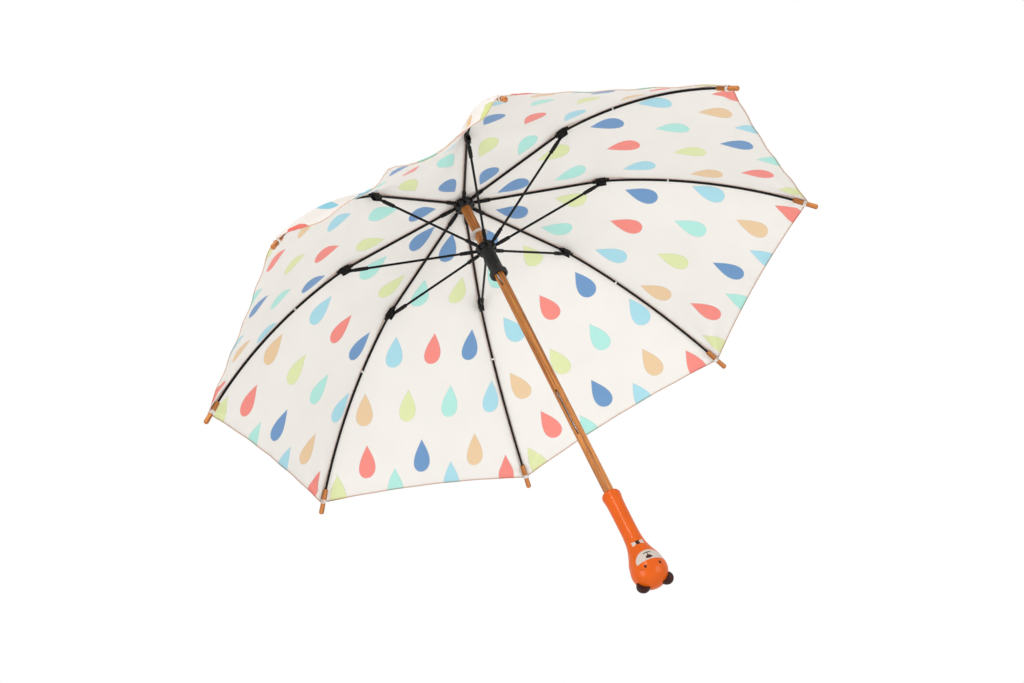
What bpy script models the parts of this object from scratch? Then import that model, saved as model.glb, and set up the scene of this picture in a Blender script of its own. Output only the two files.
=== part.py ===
"""A children's stick umbrella with eight ribs, shown open.

The shaft stands along Z with the ferrule up. The origin is the middle of the grip, and the
bear's face on the handle looks along -Y, under rib 1. Each rib folds about a wire in the crown,
each stretcher about a pin in its rib's bracket, and the runner hangs from the stretchers.
A stretcher is as long as its rib's inner arm, so the runner keeps to the shaft as they fold.
"""
import math

import bmesh
import bpy
from mathutils import Matrix, Vector

# Driving dimensions, in metres and radians.
RIBS = 8
SECTOR = 2 * math.pi / RIBS
GAP = 0.0003

CROWN_Z = 0.462
PIVOT_RADIUS = 0.0105
ARM = 0.151
ARM_SLOPE = math.radians(13)
BRACKET_DROP = 0.0035
OUTER_LENGTH = 0.255
OUTER_START_SLOPE = math.radians(19)
OUTER_END_SLOPE = math.radians(46)
OUTER_STEPS = 9
TIP_CLOSED_RADIUS = 0.014

ROD_RADIUS = 0.0014
SLEEVE_RADIUS = 0.0023
SLEEVE_LENGTH = 0.016
TONGUE_THICKNESS = 0.0020
TONGUE_HALF_HEIGHT = 0.0017
TONGUE_OVERLAP = 0.001
RIB_TONGUE = 0.0045
STRETCHER_TONGUE = 0.009
WIRE_RADIUS = 0.00045
EYE_RADIUS = 0.0008
SLOT_WIDTH = 0.0027

BRACKET_LENGTH = 0.012
BRACKET_WIDTH = 0.0054
BRACKET_TOP = 0.0024
PIN_RADIUS = 0.0007

TIP_LENGTH = 0.030
TIP_RADIUS = 0.0030
TIP_BORE_DEPTH = 0.013
HEM_TO_TIP_END = 0.013

SHAFT_RADIUS = 0.00575
SHAFT_BOTTOM = -0.045
SHAFT_ABOVE_CROWN = 0.022

HUB_RADIUS = 0.0083
FLANGE_RADIUS = 0.0120
FLANGE_HEIGHT = 0.0070
CHAMFER = 0.0008
RUNNER_TUBE_RADIUS = 0.0080
RUNNER_DROP = 0.0416
FOOT_RADIUS = 0.0105
FOOT_HEIGHT = 0.0060
MOUTH_RADIUS = 0.0074
MOUTH_DEPTH = 0.0020

STOP_BELOW_CROWN = 0.047
STOP_PIN_RADIUS = 0.0010
STOP_PIN_LENGTH = 0.0154
STOP_PIN_TURN = math.radians(-58)
WASHER_RADIUS = 0.0105
WASHER_THICKNESS = 0.0010

CATCH_AZIMUTH = math.radians(-120)
CATCH_THICKNESS = 0.0012
CATCH_LEAF = 0.0012
CATCH_FOOT_REACH = 0.0012
CATCH_FACE = 0.0049
CATCH_REACH = 0.0080
CATCH_SLOT_WIDTH = 0.0020
CATCH_SLOT_BACK = -0.0015
TOP_CATCH_STEP = 0.0156
TOP_CATCH_LENGTH = 0.026
BOTTOM_CATCH_STEP = 0.053
BOTTOM_CATCH_LENGTH = 0.061

HANDLE_TOP = 0.036
HEAD_Z = -0.068
HEAD_RADIUS = 0.0202
EAR_RADIUS = 0.0075
EAR_THICKNESS = 0.0052
EAR_ANGLE = math.radians(42)

CLOTH_THICKNESS = 0.0010
CLOTH_LIFT_AT_CROWN = 0.0043
CLOTH_LIFT_AT_HEM = 0.0035
CLOTH_START = -0.0025
CLOTH_ROWS = 10
HEM_INSET = 0.006

CAP_BOTTOM = 0.0058
CAP_RADIUS = 0.015
CAP_THICKNESS = 0.0022
FERRULE_LENGTH = 0.044

STRAP_START = 0.04
STRAP_END = 0.66
STRAP_FROM_HEM = 0.006
STRAP_WIDTH = 0.012
STRAP_THICKNESS = 0.0010
SNAP_RADIUS = 0.0042
SNAP_THICKNESS = 0.0018

# Places that follow from them.
RUNNER_Z = CROWN_Z - 2 * ARM * math.sin(ARM_SLOPE)
INNER_LENGTH = math.hypot(ARM, BRACKET_DROP)
INNER_SLOPE = ARM_SLOPE - math.atan2(BRACKET_DROP, ARM)
RIB_LENGTH = INNER_LENGTH + OUTER_LENGTH
HEM_AT = RIB_LENGTH - HEM_TO_TIP_END
CAP_TOP = CROWN_Z + CAP_BOTTOM + CAP_THICKNESS
FERRULE_Z = CAP_TOP + GAP


def rib_profile(length):
    """A point of a rib's centre line, out from its crown pin, and its slope below horizontal."""
    if length <= INNER_LENGTH:
        return Vector((length * math.cos(INNER_SLOPE), -length * math.sin(INNER_SLOPE))), INNER_SLOPE
    start, _ = rib_profile(INNER_LENGTH)
    turn = OUTER_END_SLOPE - OUTER_START_SLOPE
    bend = turn * (length - INNER_LENGTH) / OUTER_LENGTH
    chord = 2 * OUTER_LENGTH / turn * math.sin(bend / 2)
    middle = OUTER_START_SLOPE + bend / 2
    return start + Vector((chord * math.cos(middle), -chord * math.sin(middle))), OUTER_START_SLOPE + bend


def rib_azimuth(number):
    """Azimuth of rib 1, 2, ... 8; rib 1 is over the face."""
    return -math.pi / 2 + SECTOR * (number - 1)


def fold_angle():
    """How far a rib turns about its crown pin to bring its tip in beside the shaft."""
    tip, _ = rib_profile(RIB_LENGTH)
    closed = math.acos((TIP_CLOSED_RADIUS - PIVOT_RADIUS) / tip.length)
    return closed - math.atan2(-tip.y, tip.x)


def closed_runner_z():
    return CROWN_Z - 2 * ARM * math.sin(ARM_SLOPE + fold_angle())


def hem_end(side):
    """Where the hem crosses, along the ribs; side runs from -1 at one rib to 1 at the next."""
    return HEM_AT - HEM_INSET * (1 - side * side)


def cloth_point(panel, side, length, raised=0.0):
    """A point under a panel's cloth, which runs straight across from rib to rib."""
    point, slope = rib_profile(length)
    share = min(max(length / HEM_AT, 0), 1)
    lift = CLOTH_LIFT_AT_CROWN + (CLOTH_LIFT_AT_HEM - CLOTH_LIFT_AT_CROWN) * share + raised
    radius = PIVOT_RADIUS + point.x + lift * math.sin(slope)
    height = CROWN_Z + point.y + lift * math.cos(slope)
    middle = Matrix.Rotation(rib_azimuth(panel) + SECTOR / 2, 3, "Z")
    return middle @ Vector((radius * math.cos(SECTOR / 2), side * radius * math.sin(SECTOR / 2), height))


# Shapes and how they are joined.
def collection(name):
    made = bpy.data.collections.new(name)
    bpy.context.scene.collection.children.link(made)
    return made


def material(name, colour, roughness, metallic=0.0):
    made = bpy.data.materials.new(name)
    made.use_nodes = True
    shader = made.node_tree.nodes["Principled BSDF"]
    shader.inputs["Base Color"].default_value = (*colour, 1)
    shader.inputs["Roughness"].default_value = roughness
    shader.inputs["Metallic"].default_value = metallic
    return made


def piece(name, mesh, look, matrix=None):
    """A finished piece in the umbrella's collection."""
    made = bpy.data.objects.new(name, mesh)
    if not mesh.materials:
        mesh.materials.append(LOOKS[look])
    UMBRELLA.objects.link(made)
    made.matrix_world = matrix or Matrix.Identity(4)
    return made


def loose(mesh, matrix=None):
    """A shape in the workshop, still to be joined or cut."""
    if matrix is not None:
        mesh.transform(matrix)
    shape = bpy.data.objects.new("shape", mesh)
    WORKSHOP.objects.link(shape)
    return shape


def baked(shape):
    """The evaluated mesh of a workshop shape, which is then removed."""
    bpy.context.view_layer.update()
    seen = shape.evaluated_get(bpy.context.evaluated_depsgraph_get())
    mesh = bpy.data.meshes.new_from_object(seen)
    bpy.data.objects.remove(shape)
    return mesh


def combined(shape, others, operation):
    """The mesh of a shape after a Boolean with each of the others."""
    for other in others:
        boolean = shape.modifiers.new("Boolean", "BOOLEAN")
        boolean.operation = operation
        boolean.object = other
        other.hide_render = True
        other.display_type = "WIRE"
    mesh = baked(shape)
    for other in others:
        bpy.data.objects.remove(other)
    return mesh


def mesh_of(made):
    mesh = bpy.data.meshes.new("mesh")
    made.to_mesh(mesh)
    made.free()
    return mesh


def box_mesh(size, centre):
    made = bmesh.new()
    bmesh.ops.create_cube(made, size=1, matrix=Matrix.Translation(centre) @ Matrix.Diagonal((*size, 1)))
    return mesh_of(made)


def cylinder_mesh(radius, depth, sides, matrix=None):
    """A cylinder along Z about the origin, or wherever the matrix puts it."""
    made = bmesh.new()
    bmesh.ops.create_cone(made, cap_ends=True, segments=sides, radius1=radius, radius2=radius,
                          depth=depth, matrix=matrix or Matrix.Identity(4))
    return mesh_of(made)


def sphere_mesh(radius, matrix):
    made = bmesh.new()
    bmesh.ops.create_uvsphere(made, u_segments=32, v_segments=20, radius=radius, matrix=matrix)
    return mesh_of(made)


def turned_mesh(profile, sides, closed=False):
    """A solid of revolution from (radius, height) points that run down its outer side."""
    made = bmesh.new()
    points = [made.verts.new((radius, 0, height)) for radius, height in profile]
    for start, end in zip(points, points[1:]):
        made.edges.new((start, end))
    if closed:
        made.edges.new((points[-1], points[0]))
    shape = loose(mesh_of(made))
    screw = shape.modifiers.new("Screw", "SCREW")
    screw.steps = sides
    screw.render_steps = sides
    screw.use_merge_vertices = True
    screw.merge_threshold = 0.00005
    return baked(shape)


def ring_mesh(major, minor, sides, section):
    """A ring about Z with a round section."""
    turns = [-2 * math.pi * step / section for step in range(section)]
    profile = [(major + minor * math.cos(turn), minor * math.sin(turn)) for turn in turns]
    return turned_mesh(profile, sides, closed=True)


def welded(mesh):
    made = bmesh.new()
    made.from_mesh(mesh)
    bmesh.ops.remove_doubles(made, verts=made.verts, dist=0.00001)
    return mesh_of(made)


def curve_mesh(curve, points, cyclic=False):
    """The welded mesh of a curve through straight runs between the points."""
    spline = curve.splines.new("POLY")
    spline.points.add(len(points) - 1)
    for slot, point in zip(spline.points, points):
        slot.co = (*point, 1)
    spline.use_cyclic_u = cyclic
    shape = bpy.data.objects.new("curve", curve)
    WORKSHOP.objects.link(shape)
    return welded(baked(shape))


def rod_mesh(points, radius):
    """An eight-sided rod through the points, with closed ends."""
    curve = bpy.data.curves.new("rod", "CURVE")
    curve.dimensions = "3D"
    curve.bevel_depth = radius
    curve.bevel_resolution = 2
    curve.use_fill_caps = True
    return curve_mesh(curve, points)


def plate_mesh(outline, thickness):
    """A flat outline in XY with a thickness along Z."""
    curve = bpy.data.curves.new("plate", "CURVE")
    curve.dimensions = "2D"
    curve.fill_mode = "BOTH"
    curve.extrude = thickness / 2
    return curve_mesh(curve, [(x, y, 0) for x, y in outline], cyclic=True)


def smooth(mesh):
    mesh.shade_smooth()
    mesh.set_sharp_from_angle(angle=math.radians(35))
    return mesh


def solidified(mesh, thickness):
    shape = loose(mesh)
    shell = shape.modifiers.new("Solidify", "SOLIDIFY")
    shell.thickness = thickness
    shell.offset = 1
    return baked(shape)


def sheet_mesh(rows):
    """An open sheet through rows of points, facing up when a row runs towards larger azimuth."""
    made = bmesh.new()
    grid = [[made.verts.new(point) for point in row] for row in rows]
    for near, far in zip(grid, grid[1:]):
        for i in range(len(near) - 1):
            made.faces.new((near[i], far[i], far[i + 1], near[i + 1]))
    return mesh_of(made)


def along_x(start, end):
    """Lays something that runs along Z between two places on X."""
    return Matrix.Translation(((start + end) / 2, 0, 0)) @ Matrix.Rotation(math.pi / 2, 4, "Y")


def across(x, z):
    """Lays something that runs along Z to run along Y through (x, z)."""
    return Matrix.Translation((x, 0, z)) @ Matrix.Rotation(math.pi / 2, 4, "X")


# Ribs, stretchers and tips, each drawn in its own radial plane along +X.
def tongue_mesh(length, hole_radius):
    """A flat tongue with a round, pierced end about the Y axis."""
    flat = loose(box_mesh((length, TONGUE_THICKNESS, 2 * TONGUE_HALF_HEIGHT), (length / 2, 0, 0)))
    end = loose(cylinder_mesh(TONGUE_HALF_HEIGHT, TONGUE_THICKNESS, 16, across(0, 0)))
    hole = loose(cylinder_mesh(hole_radius, 2 * TONGUE_THICKNESS, 10, across(0, 0)))
    return combined(loose(combined(flat, [end], "UNION")), [hole], "DIFFERENCE")


def bracket_mesh():
    """The bracket around a rib's rod: a block, slotted from below, with its pin across the slot."""
    height = BRACKET_TOP + BRACKET_DROP + TONGUE_HALF_HEIGHT + GAP
    block = box_mesh((BRACKET_LENGTH, BRACKET_WIDTH, height), (INNER_LENGTH, 0, BRACKET_TOP - height / 2))
    slot = box_mesh((2 * BRACKET_LENGTH, SLOT_WIDTH, height), (INNER_LENGTH, 0, -ROD_RADIUS - height / 2))
    pin = cylinder_mesh(PIN_RADIUS, BRACKET_WIDTH - GAP, 10, across(INNER_LENGTH, -BRACKET_DROP))
    slotted = combined(loose(block), [loose(slot)], "DIFFERENCE")
    return combined(loose(slotted), [loose(pin)], "UNION")


def rib_mesh():
    """A rib about its crown pin: tongue, sleeve, rod and bracket."""
    sleeve_end = RIB_TONGUE + SLEEVE_LENGTH
    sleeve = cylinder_mesh(SLEEVE_RADIUS, SLEEVE_LENGTH, 12, along_x(RIB_TONGUE, sleeve_end))
    reach = OUTER_LENGTH - TIP_LENGTH + TIP_BORE_DEPTH - GAP
    steps = [RIB_TONGUE + SLEEVE_LENGTH / 2, INNER_LENGTH]
    steps += [INNER_LENGTH + reach * step / OUTER_STEPS for step in range(1, OUTER_STEPS + 1)]
    line = [rib_profile(step)[0] for step in steps]
    rod = rod_mesh([(point.x, 0, point.y) for point in line], ROD_RADIUS)
    tilt = Matrix.Rotation(INNER_SLOPE, 4, "Y")
    tongue = loose(tongue_mesh(RIB_TONGUE + TONGUE_OVERLAP, EYE_RADIUS), tilt)
    others = [loose(sleeve, tilt), loose(bracket_mesh(), tilt), loose(rod)]
    return smooth(combined(tongue, others, "UNION"))


def stretcher_mesh():
    """A stretcher from its bracket pin out to its runner wire."""
    far_end = ARM - RIB_TONGUE
    tongue = loose(tongue_mesh(STRETCHER_TONGUE + TONGUE_OVERLAP, PIN_RADIUS + GAP))
    far_place = Matrix.Translation((ARM, 0, 0)) @ Matrix.Rotation(math.pi, 4, "Z")
    others = [loose(tongue_mesh(RIB_TONGUE + TONGUE_OVERLAP, EYE_RADIUS), far_place)]
    for start in (STRETCHER_TONGUE, far_end - SLEEVE_LENGTH):
        place = along_x(start, start + SLEEVE_LENGTH)
        others.append(loose(cylinder_mesh(SLEEVE_RADIUS, SLEEVE_LENGTH, 12, place)))
    start = STRETCHER_TONGUE + SLEEVE_LENGTH / 2
    end = far_end - SLEEVE_LENGTH / 2
    others.append(loose(cylinder_mesh(ROD_RADIUS, end - start, 8, along_x(start, end))))
    return smooth(combined(tongue, others, "UNION"))


def tip_mesh():
    """A wooden rib tip from its bored inner end to its rounded outer end."""
    bore = ROD_RADIUS + GAP
    turns = [math.radians(angle) for angle in (60, 30)]
    profile = [(0, TIP_LENGTH)]
    profile += [(TIP_RADIUS * math.cos(turn), TIP_LENGTH - TIP_RADIUS * (1 - math.sin(turn)))
                for turn in turns]
    profile += [(TIP_RADIUS, TIP_LENGTH - TIP_RADIUS), (TIP_RADIUS, 0), (bore, 0),
                (bore, TIP_BORE_DEPTH), (0, TIP_BORE_DEPTH)]
    mesh = turned_mesh(profile, 12)
    mesh.transform(Matrix.Rotation(math.pi / 2, 4, "Y"))
    return smooth(mesh)


def make_frame():
    """Eight ribs with their tips and stretchers."""
    rib, stretcher, tip = rib_mesh(), stretcher_mesh(), tip_mesh()
    bracket = Vector((ARM * math.cos(ARM_SLOPE), 0, -ARM * math.sin(ARM_SLOPE)))
    tip_start, _ = rib_profile(RIB_LENGTH - TIP_LENGTH)
    tip_end, _ = rib_profile(RIB_LENGTH)
    tip_slope = math.atan2(tip_start.y - tip_end.y, tip_end.x - tip_start.x)
    for number in range(1, RIBS + 1):
        turned = Matrix.Rotation(rib_azimuth(number), 4, "Z")
        hinge = turned @ Matrix.Translation((PIVOT_RADIUS, 0, CROWN_Z))
        piece(f"rib_{number}", rib, "black_plastic", hinge)
        knee = hinge @ Matrix.Translation(bracket) @ Matrix.Rotation(math.pi - ARM_SLOPE, 4, "Y")
        piece(f"stretcher_{number}", stretcher, "black_plastic", knee)
        end = hinge @ Matrix.Translation((tip_start.x, 0, tip_start.y))
        piece(f"rib_tip_{number}", tip, "wood", end @ Matrix.Rotation(tip_slope, 4, "Y"))


# Crown, runner and their wires.
def slotted_flange(mesh):
    """Cuts a slot for each tongue and the wire's groove, about the flange's middle."""
    reach = FLANGE_RADIUS - HUB_RADIUS + 2 * TONGUE_HALF_HEIGHT
    cutters = []
    for number in range(1, RIBS + 1):
        slot = box_mesh((reach, SLOT_WIDTH, 2 * FLANGE_HEIGHT), (HUB_RADIUS + reach / 2, 0, 0))
        cutters.append(loose(slot, Matrix.Rotation(rib_azimuth(number), 4, "Z")))
    cutters.append(loose(ring_mesh(PIVOT_RADIUS, WIRE_RADIUS + GAP, 32, 8)))
    return smooth(combined(loose(mesh), cutters, "DIFFERENCE"))


def make_crown_and_runner():
    half = FLANGE_HEIGHT / 2
    rim = [(FLANGE_RADIUS - CHAMFER, half), (FLANGE_RADIUS, half - CHAMFER),
           (FLANGE_RADIUS, CHAMFER - half), (FLANGE_RADIUS - CHAMFER, -half)]
    bore = SHAFT_RADIUS + GAP
    crown = turned_mesh([(bore, half)] + rim + [(bore, -half)], 32, closed=True)
    piece("crown", slotted_flange(crown), "black_plastic", Matrix.Translation((0, 0, CROWN_Z)))

    bore = SHAFT_RADIUS + 2 * GAP
    foot_top = FOOT_HEIGHT - RUNNER_DROP
    tube = [(RUNNER_TUBE_RADIUS, -half), (RUNNER_TUBE_RADIUS, foot_top), (FOOT_RADIUS, foot_top - CHAMFER),
            (FOOT_RADIUS, CHAMFER - RUNNER_DROP), (FOOT_RADIUS - CHAMFER, -RUNNER_DROP),
            (MOUTH_RADIUS, -RUNNER_DROP), (bore, MOUTH_DEPTH - RUNNER_DROP)]
    runner = turned_mesh([(bore, half)] + rim + tube, 32, closed=True)
    piece("runner", slotted_flange(runner), "black_plastic", Matrix.Translation((0, 0, RUNNER_Z)))

    wire = smooth(ring_mesh(PIVOT_RADIUS, WIRE_RADIUS, 32, 6))
    piece("crown_wire", wire, "steel", Matrix.Translation((0, 0, CROWN_Z)))
    piece("runner_wire", wire, "steel", Matrix.Translation((0, 0, RUNNER_Z)))


# Shaft, stops, catches and ferrule.
def catch_place(height):
    """Stands a plate drawn as (reach, height) up in the shaft, in the catches' plane."""
    return (Matrix.Rotation(CATCH_AZIMUTH, 4, "Z") @ Matrix.Translation((0, 0, height))
            @ Matrix.Rotation(math.pi / 2, 4, "X"))


def top_catch_foot():
    """Height of the foot whose tooth ends just under the open runner."""
    return RUNNER_Z - RUNNER_DROP - GAP - TOP_CATCH_STEP


def bottom_catch_foot():
    """Height of the foot whose tooth starts just over the closed runner."""
    return closed_runner_z() + FLANGE_HEIGHT / 2 + 2 * GAP - BOTTOM_CATCH_STEP


def pin_place():
    """Lays the stop pin through the shaft."""
    return Matrix.Rotation(STOP_PIN_TURN, 4, "Z") @ across(0, CROWN_Z - STOP_BELOW_CROWN)


def make_shaft():
    """The wooden shaft, with a slot for each catch and a hole for the stop pin."""
    top = CROWN_Z + SHAFT_ABOVE_CROWN
    shaft = loose(cylinder_mesh(SHAFT_RADIUS, top - SHAFT_BOTTOM, 32,
                                Matrix.Translation((0, 0, (top + SHAFT_BOTTOM) / 2))))
    cutters = [loose(cylinder_mesh(STOP_PIN_RADIUS + GAP, 2 * STOP_PIN_LENGTH, 12, pin_place()))]
    depth = SHAFT_RADIUS - CATCH_SLOT_BACK + CATCH_LEAF
    for foot, length in ((top_catch_foot(), TOP_CATCH_LENGTH), (bottom_catch_foot(), BOTTOM_CATCH_LENGTH)):
        tall = length + 2 * CATCH_LEAF
        slot = box_mesh((depth, CATCH_SLOT_WIDTH, tall), (CATCH_SLOT_BACK + depth / 2, 0, foot + length / 2))
        cutters.append(loose(slot, Matrix.Rotation(CATCH_AZIMUTH, 4, "Z")))
    piece("shaft", smooth(combined(shaft, cutters, "DIFFERENCE")), "wood")


def make_catches():
    """Two leaf springs in the shaft: one holds the runner up, the other holds it down."""
    leaf = CATCH_LEAF
    rise = TOP_CATCH_STEP / 2
    top = [(CATCH_FOOT_REACH, 0), (CATCH_FOOT_REACH + leaf, 0), (CATCH_FACE, rise),
           (CATCH_REACH, TOP_CATCH_STEP - leaf), (CATCH_REACH, TOP_CATCH_STEP),
           (CATCH_FACE, TOP_CATCH_STEP), (CATCH_FACE, TOP_CATCH_LENGTH),
           (CATCH_FACE - leaf, TOP_CATCH_LENGTH), (CATCH_FACE - leaf, rise)]
    bottom = [(CATCH_FOOT_REACH, 0), (CATCH_FOOT_REACH + leaf, 0), (CATCH_FACE, rise),
              (CATCH_FACE, BOTTOM_CATCH_STEP), (CATCH_REACH, BOTTOM_CATCH_STEP),
              (CATCH_REACH, BOTTOM_CATCH_STEP + leaf), (CATCH_FACE, BOTTOM_CATCH_LENGTH),
              (CATCH_FACE - leaf, BOTTOM_CATCH_LENGTH), (CATCH_FACE - leaf, rise)]
    piece("top_catch", plate_mesh(top, CATCH_THICKNESS), "steel", catch_place(top_catch_foot()))
    piece("bottom_catch", plate_mesh(bottom, CATCH_THICKNESS), "steel", catch_place(bottom_catch_foot()))


def make_stops():
    """The pin through the shaft and the washer that lies on it."""
    piece("stop_pin", smooth(cylinder_mesh(STOP_PIN_RADIUS, STOP_PIN_LENGTH, 12)), "steel", pin_place())
    bore = SHAFT_RADIUS + GAP
    washer = [(bore, WASHER_THICKNESS), (WASHER_RADIUS, WASHER_THICKNESS), (WASHER_RADIUS, 0), (bore, 0)]
    place = Matrix.Translation((0, 0, CROWN_Z - STOP_BELOW_CROWN + STOP_PIN_RADIUS + GAP))
    piece("stop_washer", smooth(turned_mesh(washer, 32, closed=True)), "white_plastic", place)


def make_cap_and_ferrule():
    """The cap over the cloth's centre and the turned wooden ferrule above it."""
    bore = SHAFT_RADIUS + GAP
    half = CAP_THICKNESS / 2
    cap = [(bore, CAP_THICKNESS), (CAP_RADIUS / 2, CAP_THICKNESS), (CAP_RADIUS, half),
           (CAP_RADIUS, 0), (bore, 0)]
    piece("top_cap", smooth(turned_mesh(cap, 32, closed=True)), "fabric",
          Matrix.Translation((0, 0, CROWN_Z + CAP_BOTTOM)))
    bore_depth = CROWN_Z + SHAFT_ABOVE_CROWN + GAP - FERRULE_Z
    ferrule = [(0, FERRULE_LENGTH), (0.0036, FERRULE_LENGTH), (0.0045, FERRULE_LENGTH - 0.0010),
               (0.0052, 0.020), (0.0074, 0.012), (0.0082, 0.006), (0.0082, 0.001), (0.0076, 0),
               (bore, 0), (bore, bore_depth), (0, bore_depth)]
    piece("ferrule", smooth(turned_mesh(ferrule, 24)), "wood", Matrix.Translation((0, 0, FERRULE_Z)))


# Handle with the bear's head and ears.
def handle_profile():
    """The handle's outer side: rim, slim grip, neck and round head, from the top down."""
    grip = [(0.0080, HANDLE_TOP), (0.0095, 0.0353), (0.0104, 0.0335), (0.0106, 0.0310), (0.0101, 0.0270),
            (0.0096, 0.0200), (0.0094, 0.0), (0.0095, -0.0180), (0.0103, -0.0300), (0.0120, -0.0385),
            (0.0148, -0.0470), (0.0178, -0.0550)]
    turns = [math.radians(angle) for angle in (15, 0, -15, -30, -45, -60, -75)]
    head = [(HEAD_RADIUS * math.cos(turn), HEAD_Z + HEAD_RADIUS * math.sin(turn)) for turn in turns]
    return grip + head + [(0, HEAD_Z - HEAD_RADIUS)]


def make_handle():
    bore = SHAFT_RADIUS + GAP
    bottom = SHAFT_BOTTOM - GAP
    profile = [(0, bottom), (bore, bottom), (bore, HANDLE_TOP)] + handle_profile()
    piece("handle", smooth(turned_mesh(profile, 32)), "orange_paint")
    for name, side in (("ear_left", -1), ("ear_right", 1)):
        middle = Vector((side * math.sin(EAR_ANGLE), 0, -math.cos(EAR_ANGLE))) * (HEAD_RADIUS - GAP)
        disc = loose(cylinder_mesh(EAR_RADIUS, EAR_THICKNESS, 24, across(middle.x, HEAD_Z + middle.z)))
        edge = disc.modifiers.new("Bevel", "BEVEL")
        edge.width = EAR_THICKNESS / 4
        edge.segments = 2
        edge.limit_method = "ANGLE"
        head = loose(sphere_mesh(HEAD_RADIUS + GAP, Matrix.Translation((0, 0, HEAD_Z))))
        piece(name, smooth(combined(loose(baked(disc)), [head], "DIFFERENCE")), "brown_paint")


# Canopy: each panel in two halves that meet along its crease, and the closing strap.
def half_panel_mesh(panel, side):
    """The cloth between a rib and the crease beside it; side is -1 or 1."""
    rows = []
    for step in range(CLOTH_ROWS + 1):
        row = []
        for share in (1, 0.5, 0):
            length = CLOTH_START + (hem_end(share) - CLOTH_START) * step / CLOTH_ROWS
            half_width = cloth_point(panel, 1, length).xy.length * math.sin(SECTOR / 2)
            clear = GAP / half_width
            across_share = clear + share * (1 - 2 * clear)
            row.append(cloth_point(panel, side * across_share, length))
        rows.append(row if side < 0 else list(reversed(row)))
    return smooth(solidified(sheet_mesh(rows), CLOTH_THICKNESS))


def strap_point(share, from_hem):
    """A point just above the cloth of the last panel, near its hem."""
    side = STRAP_START + (STRAP_END - STRAP_START) * share
    return cloth_point(RIBS, side, hem_end(side) - from_hem, CLOTH_THICKNESS + GAP)


def make_canopy():
    for panel in range(1, RIBS + 1):
        piece(f"panel_{panel}_left", half_panel_mesh(panel, -1), "fabric")
        piece(f"panel_{panel}_right", half_panel_mesh(panel, 1), "fabric")

    steps = 6
    edges = (STRAP_FROM_HEM + STRAP_WIDTH, STRAP_FROM_HEM)
    strap = sheet_mesh([[strap_point(step / steps, edge) for step in range(steps + 1)] for edge in edges])
    piece("closing_strap", solidified(strap, STRAP_THICKNESS), "fabric")

    middle = STRAP_FROM_HEM + STRAP_WIDTH / 2
    end, before = strap_point(0.9, middle), strap_point(0.8, middle)
    towards_crown = strap_point(0.9, middle + STRAP_WIDTH / 2) - end
    up = (end - before).cross(towards_crown).normalized()
    seat = end + up * (STRAP_THICKNESS + GAP + SNAP_THICKNESS / 2)
    place = Matrix.Translation(seat) @ up.to_track_quat("Z", "Y").to_matrix().to_4x4()
    piece("strap_snap", smooth(cylinder_mesh(SNAP_RADIUS, SNAP_THICKNESS, 16)), "white_plastic", place)


for old in list(bpy.data.objects):
    bpy.data.objects.remove(old)
UMBRELLA = collection("umbrella")
WORKSHOP = collection("workshop")
WORKSHOP.hide_render = True
LOOKS = {
    "wood": material("wood", (0.53, 0.21, 0.045), 0.5),
    "black_plastic": material("black_plastic", (0.012, 0.012, 0.012), 0.35),
    "steel": material("steel", (0.55, 0.55, 0.56), 0.3, metallic=1.0),
    "white_plastic": material("white_plastic", (0.8, 0.78, 0.75), 0.4),
    "orange_paint": material("orange_paint", (0.90, 0.17, 0.026), 0.15),
    "brown_paint": material("brown_paint", (0.09, 0.020, 0.013), 0.3),
    "fabric": material("fabric", (0.90, 0.88, 0.84), 0.85),
}
make_shaft()
make_handle()
make_crown_and_runner()
make_catches()
make_stops()
make_cap_and_ferrule()
make_frame()
make_canopy()
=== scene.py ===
"""The children's umbrella, open and seen from below, on the shared frame."""
import math

import bmesh
import bpy
from mathutils import Matrix, Quaternion, Vector, noise


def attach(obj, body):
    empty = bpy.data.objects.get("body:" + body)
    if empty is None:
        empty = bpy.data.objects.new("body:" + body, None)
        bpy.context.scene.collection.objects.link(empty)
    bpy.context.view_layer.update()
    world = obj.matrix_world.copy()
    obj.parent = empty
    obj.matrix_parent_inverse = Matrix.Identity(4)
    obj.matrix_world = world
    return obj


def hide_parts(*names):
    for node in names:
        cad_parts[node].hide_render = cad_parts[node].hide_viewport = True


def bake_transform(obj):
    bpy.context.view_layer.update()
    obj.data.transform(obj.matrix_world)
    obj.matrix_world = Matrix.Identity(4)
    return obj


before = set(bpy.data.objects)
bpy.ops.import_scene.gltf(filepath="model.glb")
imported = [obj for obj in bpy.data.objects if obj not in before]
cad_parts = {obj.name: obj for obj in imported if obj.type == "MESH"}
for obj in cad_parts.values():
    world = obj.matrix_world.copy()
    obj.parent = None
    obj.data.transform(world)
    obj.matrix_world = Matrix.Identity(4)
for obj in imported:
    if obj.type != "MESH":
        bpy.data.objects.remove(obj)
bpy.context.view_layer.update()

# The umbrella's lines, in metres and radians: ribs about the crown, numbered round from the face.
RIBS = 8
SECTOR = 2 * math.pi / RIBS
CROWN_Z = 0.462
PIVOT_RADIUS = 0.0105
ARM = 0.151
ARM_SLOPE = math.radians(13)
BRACKET_DROP = 0.0035
OUTER_LENGTH = 0.255
OUTER_START_SLOPE = math.radians(19)
OUTER_END_SLOPE = math.radians(46)
INNER_LENGTH = math.hypot(ARM, BRACKET_DROP)
INNER_SLOPE = ARM_SLOPE - math.atan2(BRACKET_DROP, ARM)
RIB_LENGTH = INNER_LENGTH + OUTER_LENGTH
TIP_LENGTH = 0.030
TIP_RADIUS = 0.0030
HEM_AT = RIB_LENGTH - 0.013
HEM_INSET = 0.006
RUNNER_Z = CROWN_Z - 2 * ARM * math.sin(ARM_SLOPE)
RUNNER_DROP = 0.0416
CLOSED_RUNNER_Z = 0.1669

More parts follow.
